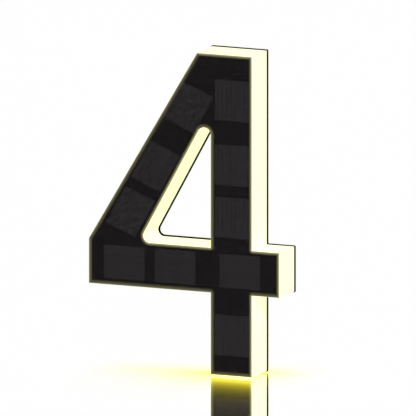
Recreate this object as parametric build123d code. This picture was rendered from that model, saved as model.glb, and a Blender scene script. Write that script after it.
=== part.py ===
from build123d import *
import math
import os

# Illuminated house number sign, the digit 4, for a wall.
# Sizes are in mm. Points of the digit are given as x to the right of the stem's left edge
# and z above the foot. A depth is a distance in front of the wall, towards the viewer.
# The part's own frame has +Z up and its front facing -Y. Its origin is at the wall, in the
# middle of the upper keyhole's round entry.

# ---- The digit's outline ----
digit_height = 200.0
stem_width = 27.5
bar_bottom = 51.0
bar_height = 28.1
bar_left_reach = 81.2
bar_right_reach = 18.25
top_left_reach = 9.0
counter_width = 47.7
counter_below_top = 33.9
counter_apex_radius = 4.3
counter_corner_radius = 4.2

# ---- Case ----
case_depth = 24.7
plate_thickness = 1.5
plate_overhang = 0.5
wall_thickness = 2.4
lip_thickness = 0.4
cover_thickness = 1.2
cell_thickness = 0.5
panel_thickness = 1.2
seal_thickness = 0.3
seal_edge_gap = 0.3
floor_thickness = 1.2
face_clearance = 0.1
gasket_width = 1.0
gasket_height = 0.8

# ---- Solar cells ----
stem_cell_margin = 2.42
stem_cell_length = 25.35
stem_cell_above_foot = 24.8
stem_gap_shares = (0.145, 0.164, 0.336)
bar_cell_margin = 3.6
bar_cell_length = 27.05
bar_cell_left_inset = 9.6
bar_cell_gap = 6.75
bar_cell_right_inset = 13.3
diagonal_cell_side = 27.0
diagonal_cell_end = 21.2
diagonal_cell_end_slope = 22.4
diagonal_cell_bar_gap = 2.4
diagonal_cell_stem_gap = 1.1
diagonal_gap_share = 0.29
cell_clearance = 0.08

# ---- Case screws, one in each outer corner ----
boss_radius = 2.9
boss_into_wall = 1.0
boss_length = 10.0
screw_radius = 1.2
screw_length = 9.0
screw_tip_gap = 0.3
screw_head_radius = 2.3
screw_head_height = 1.1
screw_clearance = 0.06
driver_slot_width = 0.6
driver_slot_length = 2.4
driver_slot_depth = 0.6

# ---- Keyholes for the wall screws ----
keyhole_entry_radius = 4.25
keyhole_slot_radius = 2.15
keyhole_rise = 8.0
keyhole_room = 1.0
keyhole_head_depth = 5.0
keyhole_pocket_wall = 1.2
upper_keyhole_below_top = 24.0
lower_keyhole_above_foot = 15.0
left_keyhole_from_end = 14.0

# ---- Mode button and its switch ----
button_radius = 4.0
button_clearance = 0.08
button_recess = 0.4
button_travel = 1.0
button_flange_radius = 5.4
button_flange_thickness = 1.2
button_guide_radius = 6.2
button_guide_length = 3.0
ring_radius = 0.52
ring_gap = 0.1
ring_slack = 0.03
switch_size = 7.0
switch_height = 4.0
switch_over_travel = 0.6
plunger_radius = 1.5
plunger_clearance = 0.1
plunger_length = 2.8

# ---- Control board ----
board_width = 19.0
board_length = 40.0
board_thickness = 1.6
board_above_bar = 27.0
board_screw_inset = 3.4
board_screw_radius = 0.8
board_screw_length = 6.0
board_screw_head_radius = 1.9
board_screw_head_height = 1.3
board_hole_radius = 1.1
standoff_radius = 2.4
header_width = 6.0
header_length = 5.5
header_height = 4.8
header_offset = 5.6
header_socket_wall = 0.7
header_socket_depth = 3.5
header_pin_pitch = 2.0
chip_length = 5.0
chip_width = 4.0
chip_height = 1.6
chip_leg_count = 4
chip_leg_width = 0.4
chip_leg_reach = 1.0
chip_leg_thickness = 0.3
chip_offset = 4.6
chips_above_board = (16.5, 25.5)
inductor_radius = 3.4
inductor_height = 3.2
inductor_flange_height = 0.6
inductor_core_radius = 2.5
inductor_offset = 4.6
inductor_above_board = 10.5
capacitor_radius = 2.5
capacitor_floor_gap = 2.0
capacitor_offset = 5.6
capacitors_above_board = (19.0, 26.0)

# ---- Battery: one small rechargeable cell in a cradle ----
battery_length = 48.4
battery_shoulder = 1.0
battery_cap_radius = 2.6
battery_cap_height = 1.0
sleeve_thickness = 0.2
sleeve_clearance = 0.02
battery_pad_width = 8.0
battery_pad_length = 30.0
battery_pad_thickness = 0.76
cradle_clearance = 0.2
cradle_wall = 1.3
cradle_floor = 1.2
cradle_foot_half_width = 5.8
cradle_foot_height = 2.4
cradle_end_rise = 1.6
cradle_bottom = 31.0
peg_radius = 1.4
peg_length = 1.9
peg_clearance = 0.1
peg_inset = 9.0
contact_thickness = 0.4
contact_width = 9.0
contact_bump_radius = 2.0
contact_bump_height = 1.4
contact_tab_width = 3.0
contact_tab_reach = 3.2
solder_block_size = 2.0

# ---- LED strips ----
strip_thickness = 1.0
strip_wall_gap = 0.45
strip_pocket_gap = 0.45
strip_end_inset = 9.5
bar_strip_left_gap = 2.5
bar_strip_stem_gap = 4.0
right_strip_stem_gap = 1.5
right_strip_end_gap = 5.8
diagonal_strip_above_bar = 10.0
diagonal_strip_below_top = 32.9
led_length = 3.5
led_width = 2.8
led_height = 0.8
led_pitch = 13.0
led_end_inset = 6.0
led_feed_gap = 4.0
jumper_radius = 0.45
jumper_clearance = 0.02
jumper_overlap = 0.5
jumper_pad_length = 1.5
diagonal_jumper_below_end = 2.5

# ---- Leads ----
lead_diameter = 1.3
led_lead_diameter = 1.0
lead_arc_share = 0.45
lead_exit = 5.0
battery_lead_wall_gap = 1.45
battery_lead_start = 5.3
battery_lead_rise = 5.1
terminal_above_board = 17.0
terminal_width = 1.6
terminal_length = 2.2
terminal_height = 3.0
terminal_hole_gap = 0.5
led_feed_above_board = 14.0

# ---- Heights and depths that follow from the sizes above ----
bar_top = bar_bottom + bar_height
bar_middle = bar_bottom + bar_height / 2
stem_middle = stem_width / 2
stem_inner_half = stem_width / 2 - wall_thickness
upper_height = digit_height - bar_top
counter_rise = upper_height - counter_below_top
outer_slope = (bar_left_reach - top_left_reach) / upper_height
stroke_slope = (outer_slope + counter_width / counter_rise) / 2
stroke_lean = math.atan(stroke_slope)

cover_back = case_depth - cover_thickness
cell_back = cover_back - cell_thickness
panel_back = cell_back - panel_thickness
ledge = panel_back - seal_thickness
floor_back = ledge - floor_thickness

upper_keyhole_height = digit_height - upper_keyhole_below_top
origin_x = stem_middle
origin_z = upper_keyhole_height

keyhole_half_width = keyhole_entry_radius + keyhole_room
pocket_half_width = keyhole_half_width + keyhole_pocket_wall
left_keyhole_x = left_keyhole_from_end - bar_left_reach
left_keyhole_height = bar_middle - keyhole_rise / 2

guide_end = plate_thickness + button_guide_length
flange_end = guide_end + button_flange_thickness
switch_back = flange_end + button_travel + switch_over_travel
board_back = switch_back + switch_height
board_front = board_back + board_thickness
capacitor_height = floor_back - board_front - capacitor_floor_gap
header_middle_depth = board_front + header_height / 2
rear_header_depth = board_back - header_height / 2
board_low_end = bar_top + board_above_bar
board_top_end = board_low_end + board_length
switch_height_above_foot = board_low_end + board_length / 2

cradle_back = plate_thickness + cradle_foot_height
sleeve_back = cradle_back + cradle_floor + cradle_clearance
sleeve_front = floor_back - battery_pad_thickness
sleeve_outer_radius = (sleeve_front - sleeve_back) / 2
sleeve_inner_radius = sleeve_outer_radius - sleeve_thickness
battery_radius = sleeve_inner_radius - sleeve_clearance
cradle_bore_radius = sleeve_outer_radius + cradle_clearance
battery_depth = cradle_back + cradle_floor + cradle_bore_radius
contact_reach = contact_thickness + contact_bump_height
battery_low_end = cradle_bottom + cradle_wall + contact_reach
battery_top_end = battery_low_end + battery_length + battery_cap_height
cradle_top = battery_top_end + contact_reach + cradle_wall
cradle_end_depth = battery_depth + cradle_end_rise

strip_front = plate_thickness + strip_thickness
strip_width = stem_inner_half - strip_wall_gap - strip_pocket_gap - pocket_half_width
strip_offset = stem_inner_half - strip_wall_gap - strip_width / 2
diagonal_strip_top = upper_height - diagonal_strip_below_top
strip_low_end = strip_end_inset
strip_top_end = digit_height - strip_end_inset
led_feed_height = board_top_end + led_feed_above_board

outline_points = {
    "foot right": (stem_width, 0),
    "bar inner bottom right": (stem_width, bar_bottom),
    "bar bottom right": (stem_width + bar_right_reach, bar_bottom),
    "bar top right": (stem_width + bar_right_reach, bar_top),
    "bar inner top right": (stem_width, bar_top),
    "top right": (stem_width, digit_height),
    "top left": (-top_left_reach, digit_height),
    "bar top left": (-bar_left_reach, bar_top),
    "bar bottom left": (-bar_left_reach, bar_bottom),
    "bar inner bottom left": (0, bar_bottom),
    "foot left": (0, 0),
}
screwed_corners = [name for name in outline_points if "inner" not in name]


# ---- Helpers ----
def place(x, z):
    """Point of the digit, x and z, in the part's own frame."""
    return (x - origin_x, z - origin_z)


def point(x, depth, z):
    """Point in space, in the part's own frame."""
    return (x - origin_x, -depth, z - origin_z)


def shifted_corner(before, corner, after, distance):
    """Corner of a counter-clockwise outline once its two sides move inwards by a distance."""
    side_in = (Vector(*corner) - Vector(*before)).normalized()
    side_out = (Vector(*after) - Vector(*corner)).normalized()
    normal_in = Vector(-side_in.Y, side_in.X)
    normal_out = Vector(-side_out.Y, side_out.X)
    step = (normal_in + normal_out) * (distance / (1 + normal_in.dot(normal_out)))
    return (corner[0] + step.X, corner[1] + step.Y)


def shifted_corners(corners, distance):
    """Corners of a counter-clockwise outline whose sides all move inwards by a distance."""
    following = corners[1:] + corners[:1]
    preceding = corners[-1:] + corners[:-1]
    triples = zip(preceding, corners, following)
    return [shifted_corner(before, corner, after, distance) for before, corner, after in triples]


def outer_face(inset):
    """The digit's outer outline, drawn in by an inset, without the counter."""
    corners = shifted_corners(list(outline_points.values()), inset)
    return make_face(Polyline(*[place(x, z) for x, z in corners], close=True))


def counter_face(growth):
    """The triangular counter, its sides moved outwards and its round corners grown with them."""
    corners = [(-counter_width, bar_top), (0, bar_top), (0, bar_top + counter_rise)]
    moved = [place(x, z) for x, z in shifted_corners(corners, -growth)]
    radii = [counter_corner_radius + growth, 0, counter_apex_radius + growth]
    return make_face(FilletPolyline(*moved, radius=radii, close=True))


def digit_face(inset):
    """The digit with its counter, every edge drawn into the stroke by an inset."""
    return outer_face(inset) - counter_face(inset)


def slab(face, near, far):
    """Solid of a face drawn in x and z, from one depth to another."""
    return extrude(Plane.XZ.offset(near) * face, far - near, dir=(0, -1, 0))


def disc(x, z, radius, near, far):
    """Round solid square to the wall."""
    return slab(Pos(*place(x, z)) * Circle(radius), near, far)


def block(x, z, width, height, near, far):
    """Box centred at x and z, between two depths."""
    return slab(Pos(*place(x, z)) * Rectangle(width, height), near, far)


def cone(x, z, near_radius, far_radius, near, far):
    """Tapered round solid square to the wall."""
    near_circle = Plane.XZ.offset(near) * Pos(*place(x, z)) * Circle(near_radius)
    far_circle = Plane.XZ.offset(far) * Pos(*place(x, z)) * Circle(far_radius)
    return loft([near_circle, far_circle])


def upright(x, depth, radius, low, high):
    """Round solid that stands along z."""
    centre = point(x, depth, low)
    return extrude(Plane(origin=centre) * Circle(radius), high - low)


def group(solids):
    """Separate solids kept together as one sub-part."""
    return Compound([solid for part in solids for solid in part.solids()])


def lead(name, points, diameter):
    """Insulated lead on straight runs joined by arcs as large as the runs allow."""
    corners = [Vector(*point(*each)) for each in points]
    runs = [after - before for before, after in zip(corners, corners[1:])]
    radii = []
    for run, next_run in zip(runs, runs[1:]):
        half_turn = math.radians(run.get_angle(next_run)) / 2
        shorter = min(run.length, next_run.length)
        radii.append(lead_arc_share * shorter / math.tan(half_turn))
    path = FilletPolyline(*corners, radius=radii)
    section = Plane(origin=path @ 0, z_dir=path % 0) * Circle(diameter / 2)
    tube = sweep(section, path=path)
    expected = path.length * math.pi * diameter**2 / 4
    shown = ", ".join(f"{radius:.1f}" for radius in radii)
    print(f"{name}: length {path.length:.1f}, radii {shown}, volume ratio {tube.volume / expected:.4f}")
    return tube


def stroke_middle(above_bar):
    """X of the slanted stroke's middle at a height above the bar's top."""
    return above_bar * stroke_slope - (bar_left_reach + counter_width) / 2


# ---- Places that repeat ----
boss_inset = wall_thickness + boss_radius - boss_into_wall
boss_corners = shifted_corners(list(outline_points.values()), boss_inset)
boss_by_name = dict(zip(outline_points, boss_corners))
screw_places = [boss_by_name[name] for name in screwed_corners]
keyhole_places = {
    "upper": (stem_middle, upper_keyhole_height),
    "lower": (stem_middle, lower_keyhole_above_foot),
    "left": (left_keyhole_x, left_keyhole_height),
}
board_screw_heights = (board_low_end + board_screw_inset, board_top_end - board_screw_inset)
peg_heights = (cradle_bottom + peg_inset, cradle_top - peg_inset)

battery_header_x = stem_middle + header_offset
panel_header_x = stem_middle - header_offset
led_header_x = stem_middle - header_offset
half_pitch = header_pin_pitch / 2
terminal_places = (panel_header_x - half_pitch, panel_header_x + half_pitch)
terminal_low = board_top_end + terminal_above_board
terminal_middle = terminal_low + terminal_length / 2


# ---- Solar cells ----
def stem_cell_face(height, growth):
    """Cell on the stem, across its width."""
    width = stem_width - 2 * stem_cell_margin + 2 * growth
    return Pos(*place(stem_middle, height)) * Rectangle(width, stem_cell_length + 2 * growth)


def bar_cell_face(x, growth):
    """Cell on the crossbar, along its length."""
    height = bar_height - 2 * bar_cell_margin + 2 * growth
    return Pos(*place(x, bar_middle)) * Rectangle(bar_cell_length + 2 * growth, height)


def half_diagonal_cell():
    """Half of a slanted cell's long side, which follows the stroke, and half of its sloping end."""
    slope = math.radians(diagonal_cell_end_slope)
    half_side = Vector(math.sin(stroke_lean), math.cos(stroke_lean)) * (diagonal_cell_side / 2)
    half_end = Vector(math.cos(slope), -math.sin(slope)) * (diagonal_cell_end / 2)
    return half_side, half_end


def diagonal_cell_heights():
    """Heights above the bar's top: the low cell just clears the bar, the top one just clears the stem's."""
    half_side, half_end = half_diagonal_cell()
    low = diagonal_cell_bar_gap + half_side.Y - half_end.Y
    top_x = stem_cell_margin - diagonal_cell_stem_gap - half_side.X - half_end.X
    top = (top_x - stroke_middle(0)) / stroke_slope
    spare = top - low - 4 * half_side.Y
    return (low, low + 2 * half_side.Y + diagonal_gap_share * spare, top)


def diagonal_cell_face(above_bar, growth):
    """Cell on the slanted stroke, cut skew so that its long sides follow the stroke."""
    half_side, half_end = half_diagonal_cell()
    centre = Vector(stroke_middle(above_bar), bar_top + above_bar)
    turns = ((-1, -1), (1, -1), (1, 1), (-1, 1))
    spread = [centre + half_end * across + half_side * along for across, along in turns]
    corners = shifted_corners([(corner.X, corner.Y) for corner in spread], -growth)
    return make_face(Polyline(*[place(x, z) for x, z in corners], close=True))


def stem_cell_heights():
    """One cell below the bar, and more above it with the spare length shared out between them."""
    heights = [stem_cell_above_foot]
    spare = upper_height - len(stem_gap_shares) * stem_cell_length
    low = bar_top
    for share in stem_gap_shares:
        low += share * spare
        heights.append(low + stem_cell_length / 2)
        low += stem_cell_length
    return heights


def bar_cell_places():
    """Two cells from the bar's left end on, and one at its right end."""
    first = bar_cell_left_inset + bar_cell_length / 2 - bar_left_reach
    last = stem_width + bar_right_reach - bar_cell_right_inset - bar_cell_length / 2
    return [first, first + bar_cell_length + bar_cell_gap, last]


def cell_faces(growth):
    """Every cell's face by name, grown by a clearance where it is a window."""
    faces = {}
    for number, height in enumerate(stem_cell_heights(), start=1):
        faces[f"solar_cell_stem_{number}"] = stem_cell_face(height, growth)
    for number, x in enumerate(bar_cell_places(), start=1):
        faces[f"solar_cell_bar_{number}"] = bar_cell_face(x, growth)
    for number, above in enumerate(diagonal_cell_heights(), start=1):
        faces[f"solar_cell_diagonal_{number}"] = diagonal_cell_face(above, growth)
    return faces


def solar_cells():
    """The cells, each a thin wafer flush with the mask."""
    faces = cell_faces(0)
    return {name: slab(face, cell_back, cover_back) for name, face in faces.items()}


# ---- Face ----
def face_cover():
    """Clear cover inside the shell's lip, over the cells."""
    return slab(digit_face(lip_thickness + face_clearance), cover_back, case_depth)


def face_mask():
    """Black mask sheet under the cover, with a window for each cell."""
    sheet = digit_face(lip_thickness + face_clearance)
    for window in cell_faces(cell_clearance).values():
        sheet -= window
    return slab(sheet, cell_back, cover_back)


def panel_board():
    """Carrier board that the cells lie on."""
    return slab(digit_face(lip_thickness + face_clearance), panel_back, cell_back)


def face_seal():
    """Beads of sealant between the carrier board and the shell's floor."""
    outside = digit_face(lip_thickness + seal_edge_gap)
    inside = digit_face(wall_thickness - seal_edge_gap)
    return slab(outside - inside, ledge, panel_back)


# ---- Shell and back plate ----
def diffuser_shell():
    """Milky tray: walls round the digit and its counter, a floor under the face and screw bosses."""
    tray = slab(digit_face(0), plate_thickness, case_depth)
    tray -= slab(digit_face(wall_thickness), plate_thickness, floor_back)
    tray -= slab(digit_face(lip_thickness), ledge, case_depth)
    boss_end = plate_thickness + boss_length
    tray += [disc(x, z, boss_radius, plate_thickness, boss_end) for x, z in screw_places]
    for x, z in screw_places:
        hole_end = screw_length + screw_tip_gap
        tray -= disc(x, z, screw_radius + screw_clearance, plate_thickness, hole_end)
    for x in terminal_places:
        hole_width = terminal_width + 2 * terminal_hole_gap
        hole_length = terminal_length + 2 * terminal_hole_gap
        tray -= block(x, terminal_middle, hole_width, hole_length, floor_back, ledge)
    return tray


def gasket_rings():
    """Faces of the sealing ring under the outer wall and of the one under the counter's wall."""
    edge = (wall_thickness - gasket_width) / 2
    outer_ring = outer_face(edge) - outer_face(edge + gasket_width)
    counter_ring = counter_face(edge + gasket_width) - counter_face(edge)
    return outer_ring, counter_ring


def gasket(ring):
    """Sealing ring that fills its groove in the back plate."""
    return slab(ring, plate_thickness - gasket_height, plate_thickness)


def keyhole_face(x, z):
    """Round entry with a slot that rises from it."""
    entry = Pos(*place(x, z)) * Circle(keyhole_entry_radius)
    slot = Pos(*place(x, z + keyhole_rise / 2)) * Rectangle(2 * keyhole_slot_radius, keyhole_rise)
    top = Pos(*place(x, z + keyhole_rise)) * Circle(keyhole_slot_radius)
    return entry + slot + top


def keyhole_room_block(x, z, wall):
    """Space behind a keyhole for the screw's head, or the pocket round it with a wall."""
    low = z - keyhole_half_width - wall
    high = z + keyhole_rise + keyhole_half_width - keyhole_room + wall
    width = 2 * (keyhole_half_width + wall)
    far = plate_thickness + keyhole_head_depth + wall
    return block(x, (low + high) / 2, width, high - low, plate_thickness, far)


def back_plate():
    """Black back plate that stands out past the shell, with keyholes, button guide, standoffs and pegs."""
    plate = slab(digit_face(-plate_overhang), 0, plate_thickness)
    x = stem_middle
    parts = [keyhole_room_block(*at, keyhole_pocket_wall) for at in keyhole_places.values()]
    parts += [disc(x, switch_height_above_foot, button_guide_radius, plate_thickness, guide_end)]
    parts += [disc(x, z, standoff_radius, plate_thickness, board_back) for z in board_screw_heights]
    parts += [disc(x, z, peg_radius, plate_thickness, plate_thickness + peg_length) for z in peg_heights]
    plate += parts
    for at in keyhole_places.values():
        plate -= slab(keyhole_face(*at), 0, plate_thickness)
        plate -= keyhole_room_block(*at, 0)
    for ring in gasket_rings():
        plate -= gasket(ring)
    for at in screw_places:
        plate -= disc(*at, screw_radius + screw_clearance, 0, plate_thickness)
        plate -= screw_head(*at, screw_clearance)
    bore_radius = button_radius + button_clearance
    plate -= disc(x, switch_height_above_foot, bore_radius, 0, guide_end)
    plate -= ring_groove()
    for z in board_screw_heights:
        plate -= disc(x, z, board_screw_radius, board_front - board_screw_length, board_back)
    return plate


def screw_head(x, z, growth):
    """Countersunk head, flush with the back, or its seat when it is grown by a clearance."""
    shank = screw_radius + growth
    return cone(x, z, screw_head_radius + growth, shank, 0, screw_head_height)


def case_screws():
    """Countersunk screws that hold the back plate to the shell's bosses."""
    screws = []
    for x, z in screw_places:
        screw = screw_head(x, z, 0) + disc(x, z, screw_radius, 0, screw_length)
        screw -= block(x, z, driver_slot_width, driver_slot_length, 0, driver_slot_depth)
        screw -= block(x, z, driver_slot_length, driver_slot_width, 0, driver_slot_depth)
        screws.append(screw)
    return group(screws)


# ---- Mode button and switch ----
ring_middle_radius = button_radius + ring_gap + ring_radius
ring_groove_half_width = ring_radius + ring_slack
ring_depth = plate_thickness + button_guide_length / 2


def ring_groove():
    """Groove round the button's bore for the sealing ring."""
    radius = ring_middle_radius + ring_groove_half_width
    near = ring_depth - ring_groove_half_width
    far = ring_depth + ring_groove_half_width
    return disc(stem_middle, switch_height_above_foot, radius, near, far)


def button_seal():
    """Round sealing ring between the button and its guide."""
    centre = point(stem_middle, ring_depth, switch_height_above_foot)
    return Pos(*centre) * Rot(X=90) * Torus(ring_middle_radius, ring_radius)


def mode_button():
    """Button that is pressed from the back, with the flange that keeps it in."""
    z = switch_height_above_foot
    shaft = disc(stem_middle, z, button_radius, button_recess, guide_end)
    return shaft + disc(stem_middle, z, button_flange_radius, guide_end, flange_end)


def switch_plunger():
    """Sprung pin of the switch that carries the button."""
    end = flange_end + plunger_length
    return disc(stem_middle, switch_height_above_foot, plunger_radius, flange_end, end)


def switch_body():
    """Push switch soldered to the back of the control board."""
    z = switch_height_above_foot
    body = block(stem_middle, z, switch_size, switch_size, switch_back, board_back)
    bore_end = flange_end + plunger_length + button_travel + plunger_clearance
    return body - disc(stem_middle, z, plunger_radius + plunger_clearance, switch_back, bore_end)


# ---- Control board ----
def control_board():
    """Circuit board on two standoffs, with its screw holes."""
    z = board_low_end + board_length / 2
    board = block(stem_middle, z, board_width, board_length, board_back, board_front)
    for height in board_screw_heights:
        board -= disc(stem_middle, height, board_hole_radius, board_back, board_front)
    return board


def board_screws():
    """Pan head screws that hold the control board."""
    screws = []
    head_end = board_front + board_screw_head_height
    tip = board_front - board_screw_length
    for z in board_screw_heights:
        head = disc(stem_middle, z, board_screw_head_radius, board_front, head_end)
        slot_start = head_end - driver_slot_depth
        head -= block(stem_middle, z, driver_slot_width, driver_slot_length, slot_start, head_end)
        screws.append(head + disc(stem_middle, z, board_screw_radius, tip, board_front))
    return group(screws)


def header(x, mouth, direction, near, far):
    """Wire header with a socket that opens up (direction 1) or down (direction -1) along z."""
    middle = mouth - direction * header_length / 2
    body = block(x, middle, header_width, header_length, near, far)
    socket_middle = mouth - direction * header_socket_depth / 2
    socket = block(
        x,
        socket_middle,
        header_width - 2 * header_socket_wall,
        header_socket_depth,
        near + header_socket_wall,
        far - header_socket_wall,
    )
    return body - socket


def wire_plug(x, mouth, direction, near, far):
    """Plug that fills a header's socket and holds the crimped ends of two leads."""
    middle = mouth - direction * header_socket_depth / 2
    width = header_width - 2 * header_socket_wall - 2 * face_clearance
    first = near + header_socket_wall + face_clearance
    last = far - header_socket_wall - face_clearance
    return block(x, middle, width, header_socket_depth, first, last)


def chip(x, z):
    """Small chip with a row of legs on each side."""
    body = block(x, z, chip_width, chip_length, board_front + chip_leg_thickness, board_front + chip_height)
    row = chip_leg_count - 1
    pitch = chip_length / chip_leg_count
    leg_width = chip_width + 2 * chip_leg_reach
    leg_end = board_front + chip_leg_thickness
    for number in range(chip_leg_count):
        height = z + (number - row / 2) * pitch
        body += block(x, height, leg_width, chip_leg_width, board_front, leg_end)
    return body


def control_chips():
    """Charger and lamp driver chips."""
    return group([chip(stem_middle + chip_offset, board_low_end + above) for above in chips_above_board])


def power_inductor():
    """Drum core coil of the lamp driver."""
    x = stem_middle - inductor_offset
    z = board_low_end + inductor_above_board
    top = board_front + inductor_height
    drum = disc(x, z, inductor_core_radius, board_front, top)
    drum += disc(x, z, inductor_radius, board_front, board_front + inductor_flange_height)
    return drum + disc(x, z, inductor_radius, top - inductor_flange_height, top)


def filter_capacitors():
    """Round capacitors beside the switch."""
    x = stem_middle - capacitor_offset
    end = board_front + capacitor_height
    heights = [board_low_end + above for above in capacitors_above_board]
    return group([disc(x, z, capacitor_radius, board_front, end) for z in heights])


# ---- Battery ----
def battery_cell():
    """Rechargeable cell, standing along z with its cap on top."""
    can_top = battery_low_end + battery_length
    can = upright(stem_middle, battery_depth, battery_radius, battery_low_end, can_top)
    cap = upright(stem_middle, battery_depth, battery_cap_radius, can_top, battery_top_end)
    return can + cap


def battery_sleeve():
    """Printed plastic wrap round the cell's can."""
    low = battery_low_end + battery_shoulder
    high = battery_low_end + battery_length - battery_shoulder
    outside = upright(stem_middle, battery_depth, sleeve_outer_radius, low, high)
    return outside - upright(stem_middle, battery_depth, sleeve_inner_radius, low, high)


def battery_pad():
    """Foam pad between the cell and the shell's floor."""
    middle = (battery_low_end + battery_top_end) / 2
    return block(stem_middle, middle, battery_pad_width, battery_pad_length, sleeve_front, floor_back)


def battery_cradle():
    """Moulded trough that holds the cell, on a foot between the LED strips."""
    middle = (cradle_bottom + cradle_top) / 2
    length = cradle_top - cradle_bottom
    width = 2 * (cradle_bore_radius + cradle_wall)
    trough = block(stem_middle, middle, width, length, cradle_back, battery_depth)
    for z in (cradle_bottom + cradle_wall / 2, cradle_top - cradle_wall / 2):
        trough += block(stem_middle, z, width, cradle_wall, cradle_back, cradle_end_depth)
    low = cradle_bottom + cradle_wall
    trough -= upright(stem_middle, battery_depth, cradle_bore_radius, low, cradle_top - cradle_wall)
    foot_width = 2 * cradle_foot_half_width
    trough += block(stem_middle, middle, foot_width, length, plate_thickness, cradle_back)
    for z in peg_heights:
        far = plate_thickness + peg_length + peg_clearance
        trough -= disc(stem_middle, z, peg_radius + peg_clearance, plate_thickness, far)
    return trough


def battery_contact(inner_face, direction):
    """Spring plate at one end of the cell, folded over the cradle's end wall."""
    plate_end = inner_face + direction * contact_thickness
    bump_end = plate_end + direction * contact_bump_height
    outer_end = inner_face - direction * (cradle_wall + contact_tab_reach)
    near = battery_depth - contact_width / 2
    fold = cradle_end_depth + contact_thickness
    plate_middle = (inner_face + plate_end) / 2
    contact = block(stem_middle, plate_middle, contact_width, contact_thickness, near, fold)
    contact += upright(
        stem_middle,
        battery_depth,
        contact_bump_radius,
        min(plate_end, bump_end),
        max(plate_end, bump_end),
    )
    tab_middle = (plate_end + outer_end) / 2
    tab_length = abs(plate_end - outer_end)
    contact += block(stem_middle, tab_middle, contact_tab_width, tab_length, cradle_end_depth, fold)
    solder_middle = outer_end + direction * solder_block_size / 2
    solder_end = fold + solder_block_size
    contact += block(stem_middle, solder_middle, solder_block_size, solder_block_size, fold, solder_end)
    return contact


# ---- LED strips ----
def bar_strip_heights():
    """Middle heights of the two strips in the crossbar's left arm."""
    inset = wall_thickness + strip_wall_gap + strip_width / 2
    return (bar_bottom + inset, bar_top - inset)


def stem_strips():
    """Two boards up the stem, one along each wall."""
    length = strip_top_end - strip_low_end
    middle = (strip_top_end + strip_low_end) / 2
    sides = (stem_middle - strip_offset, stem_middle + strip_offset)
    return group([block(x, middle, strip_width, length, plate_thickness, strip_front) for x in sides])


bar_strip_left = left_keyhole_x + pocket_half_width + bar_strip_left_gap
bar_strip_right = -bar_strip_stem_gap
right_strip_left = stem_width + right_strip_stem_gap
right_strip_right = stem_width + bar_right_reach - right_strip_end_gap


def bar_strips():
    """Two boards in the crossbar's left arm and a short one in its right arm."""
    middle = (bar_strip_left + bar_strip_right) / 2
    length = bar_strip_right - bar_strip_left
    boards = [
        block(middle, z, length, strip_width, plate_thickness, strip_front) for z in bar_strip_heights()
    ]
    right_middle = (right_strip_left + right_strip_right) / 2
    right_length = right_strip_right - right_strip_left
    boards.append(block(right_middle, bar_middle, right_length, strip_width, plate_thickness, strip_front))
    return group(boards)


def diagonal_place(share):
    """Point on the slanted strip's middle line, from its low end (0) to its top end (1)."""
    above = diagonal_strip_above_bar + share * (diagonal_strip_top - diagonal_strip_above_bar)
    return Vector(stroke_middle(above), bar_top + above)


diagonal_strip_length = (diagonal_place(1) - diagonal_place(0)).length


def turned_rectangle(centre, width, length):
    """Rectangle whose length follows the slanted stroke."""
    x, z = place(centre.X, centre.Y)
    return Pos(x, z) * Rot(Z=-math.degrees(stroke_lean)) * Rectangle(width, length)


def diagonal_strip():
    """Board up the middle of the slanted stroke."""
    face = turned_rectangle(diagonal_place(0.5), strip_width, diagonal_strip_length)
    return slab(face, plate_thickness, strip_front)


def spread_along(low, high):
    """LED places between two ends, at about the pitch and an equal step."""
    first = low + led_end_inset
    span = high - led_end_inset - first
    steps = max(1, round(span / led_pitch))
    return [first + span * number / steps for number in range(steps + 1)]


def stem_leds():
    """LEDs on both stem strips, left out where a lead lands."""
    heights = spread_along(strip_low_end, strip_top_end)
    kept = [z for z in heights if abs(z - led_feed_height) > led_feed_gap]
    end = strip_front + led_height
    leds = []
    for x in (stem_middle - strip_offset, stem_middle + strip_offset):
        leds += [block(x, z, led_width, led_length, strip_front, end) for z in kept]
    return group(leds)


def bar_leds():
    """LEDs on the crossbar's strips."""
    end = strip_front + led_height
    leds = []
    for z in bar_strip_heights():
        places = spread_along(bar_strip_left, bar_strip_right)
        leds += [block(x, z, led_length, led_width, strip_front, end) for x in places]
    right_x = (right_strip_left + right_strip_right) / 2
    leds.append(block(right_x, bar_middle, led_length, led_width, strip_front, end))
    return group(leds)


def diagonal_leds():
    """LEDs on the slanted strip."""
    leds = []
    for distance in spread_along(0, diagonal_strip_length):
        centre = diagonal_place(distance / diagonal_strip_length)
        face = turned_rectangle(centre, led_width, led_length)
        leds.append(slab(face, strip_front, strip_front + led_height))
    return group(leds)


def jumper(start_x, end_x, z):
    """Short straight wire that lies on the ends of two strips."""
    depth = strip_front + jumper_radius + jumper_clearance
    start = point(start_x, depth, z)
    return extrude(Plane(origin=start, z_dir=(1, 0, 0)) * Circle(jumper_radius), end_x - start_x)


def led_jumpers():
    """Wires from the stem's strips to those in the crossbar and the slanted stroke."""
    left_edge = stem_middle - strip_offset - strip_width / 2
    right_edge = stem_middle + strip_offset + strip_width / 2
    wires = [
        jumper(bar_strip_right - jumper_pad_length, left_edge + jumper_overlap, z)
        for z in bar_strip_heights()
    ]
    wires.append(jumper(right_edge - jumper_overlap, right_strip_left + jumper_pad_length, bar_middle))
    above = diagonal_strip_top - diagonal_jumper_below_end
    start = stroke_middle(above) + jumper_overlap
    wires.append(jumper(start, left_edge + jumper_overlap, bar_top + above))
    return group(wires)


# ---- Leads ----
solder_depth = cradle_end_depth + contact_thickness + solder_block_size / 2
terminal_depth = floor_back - face_clearance - lead_diameter / 2


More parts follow.
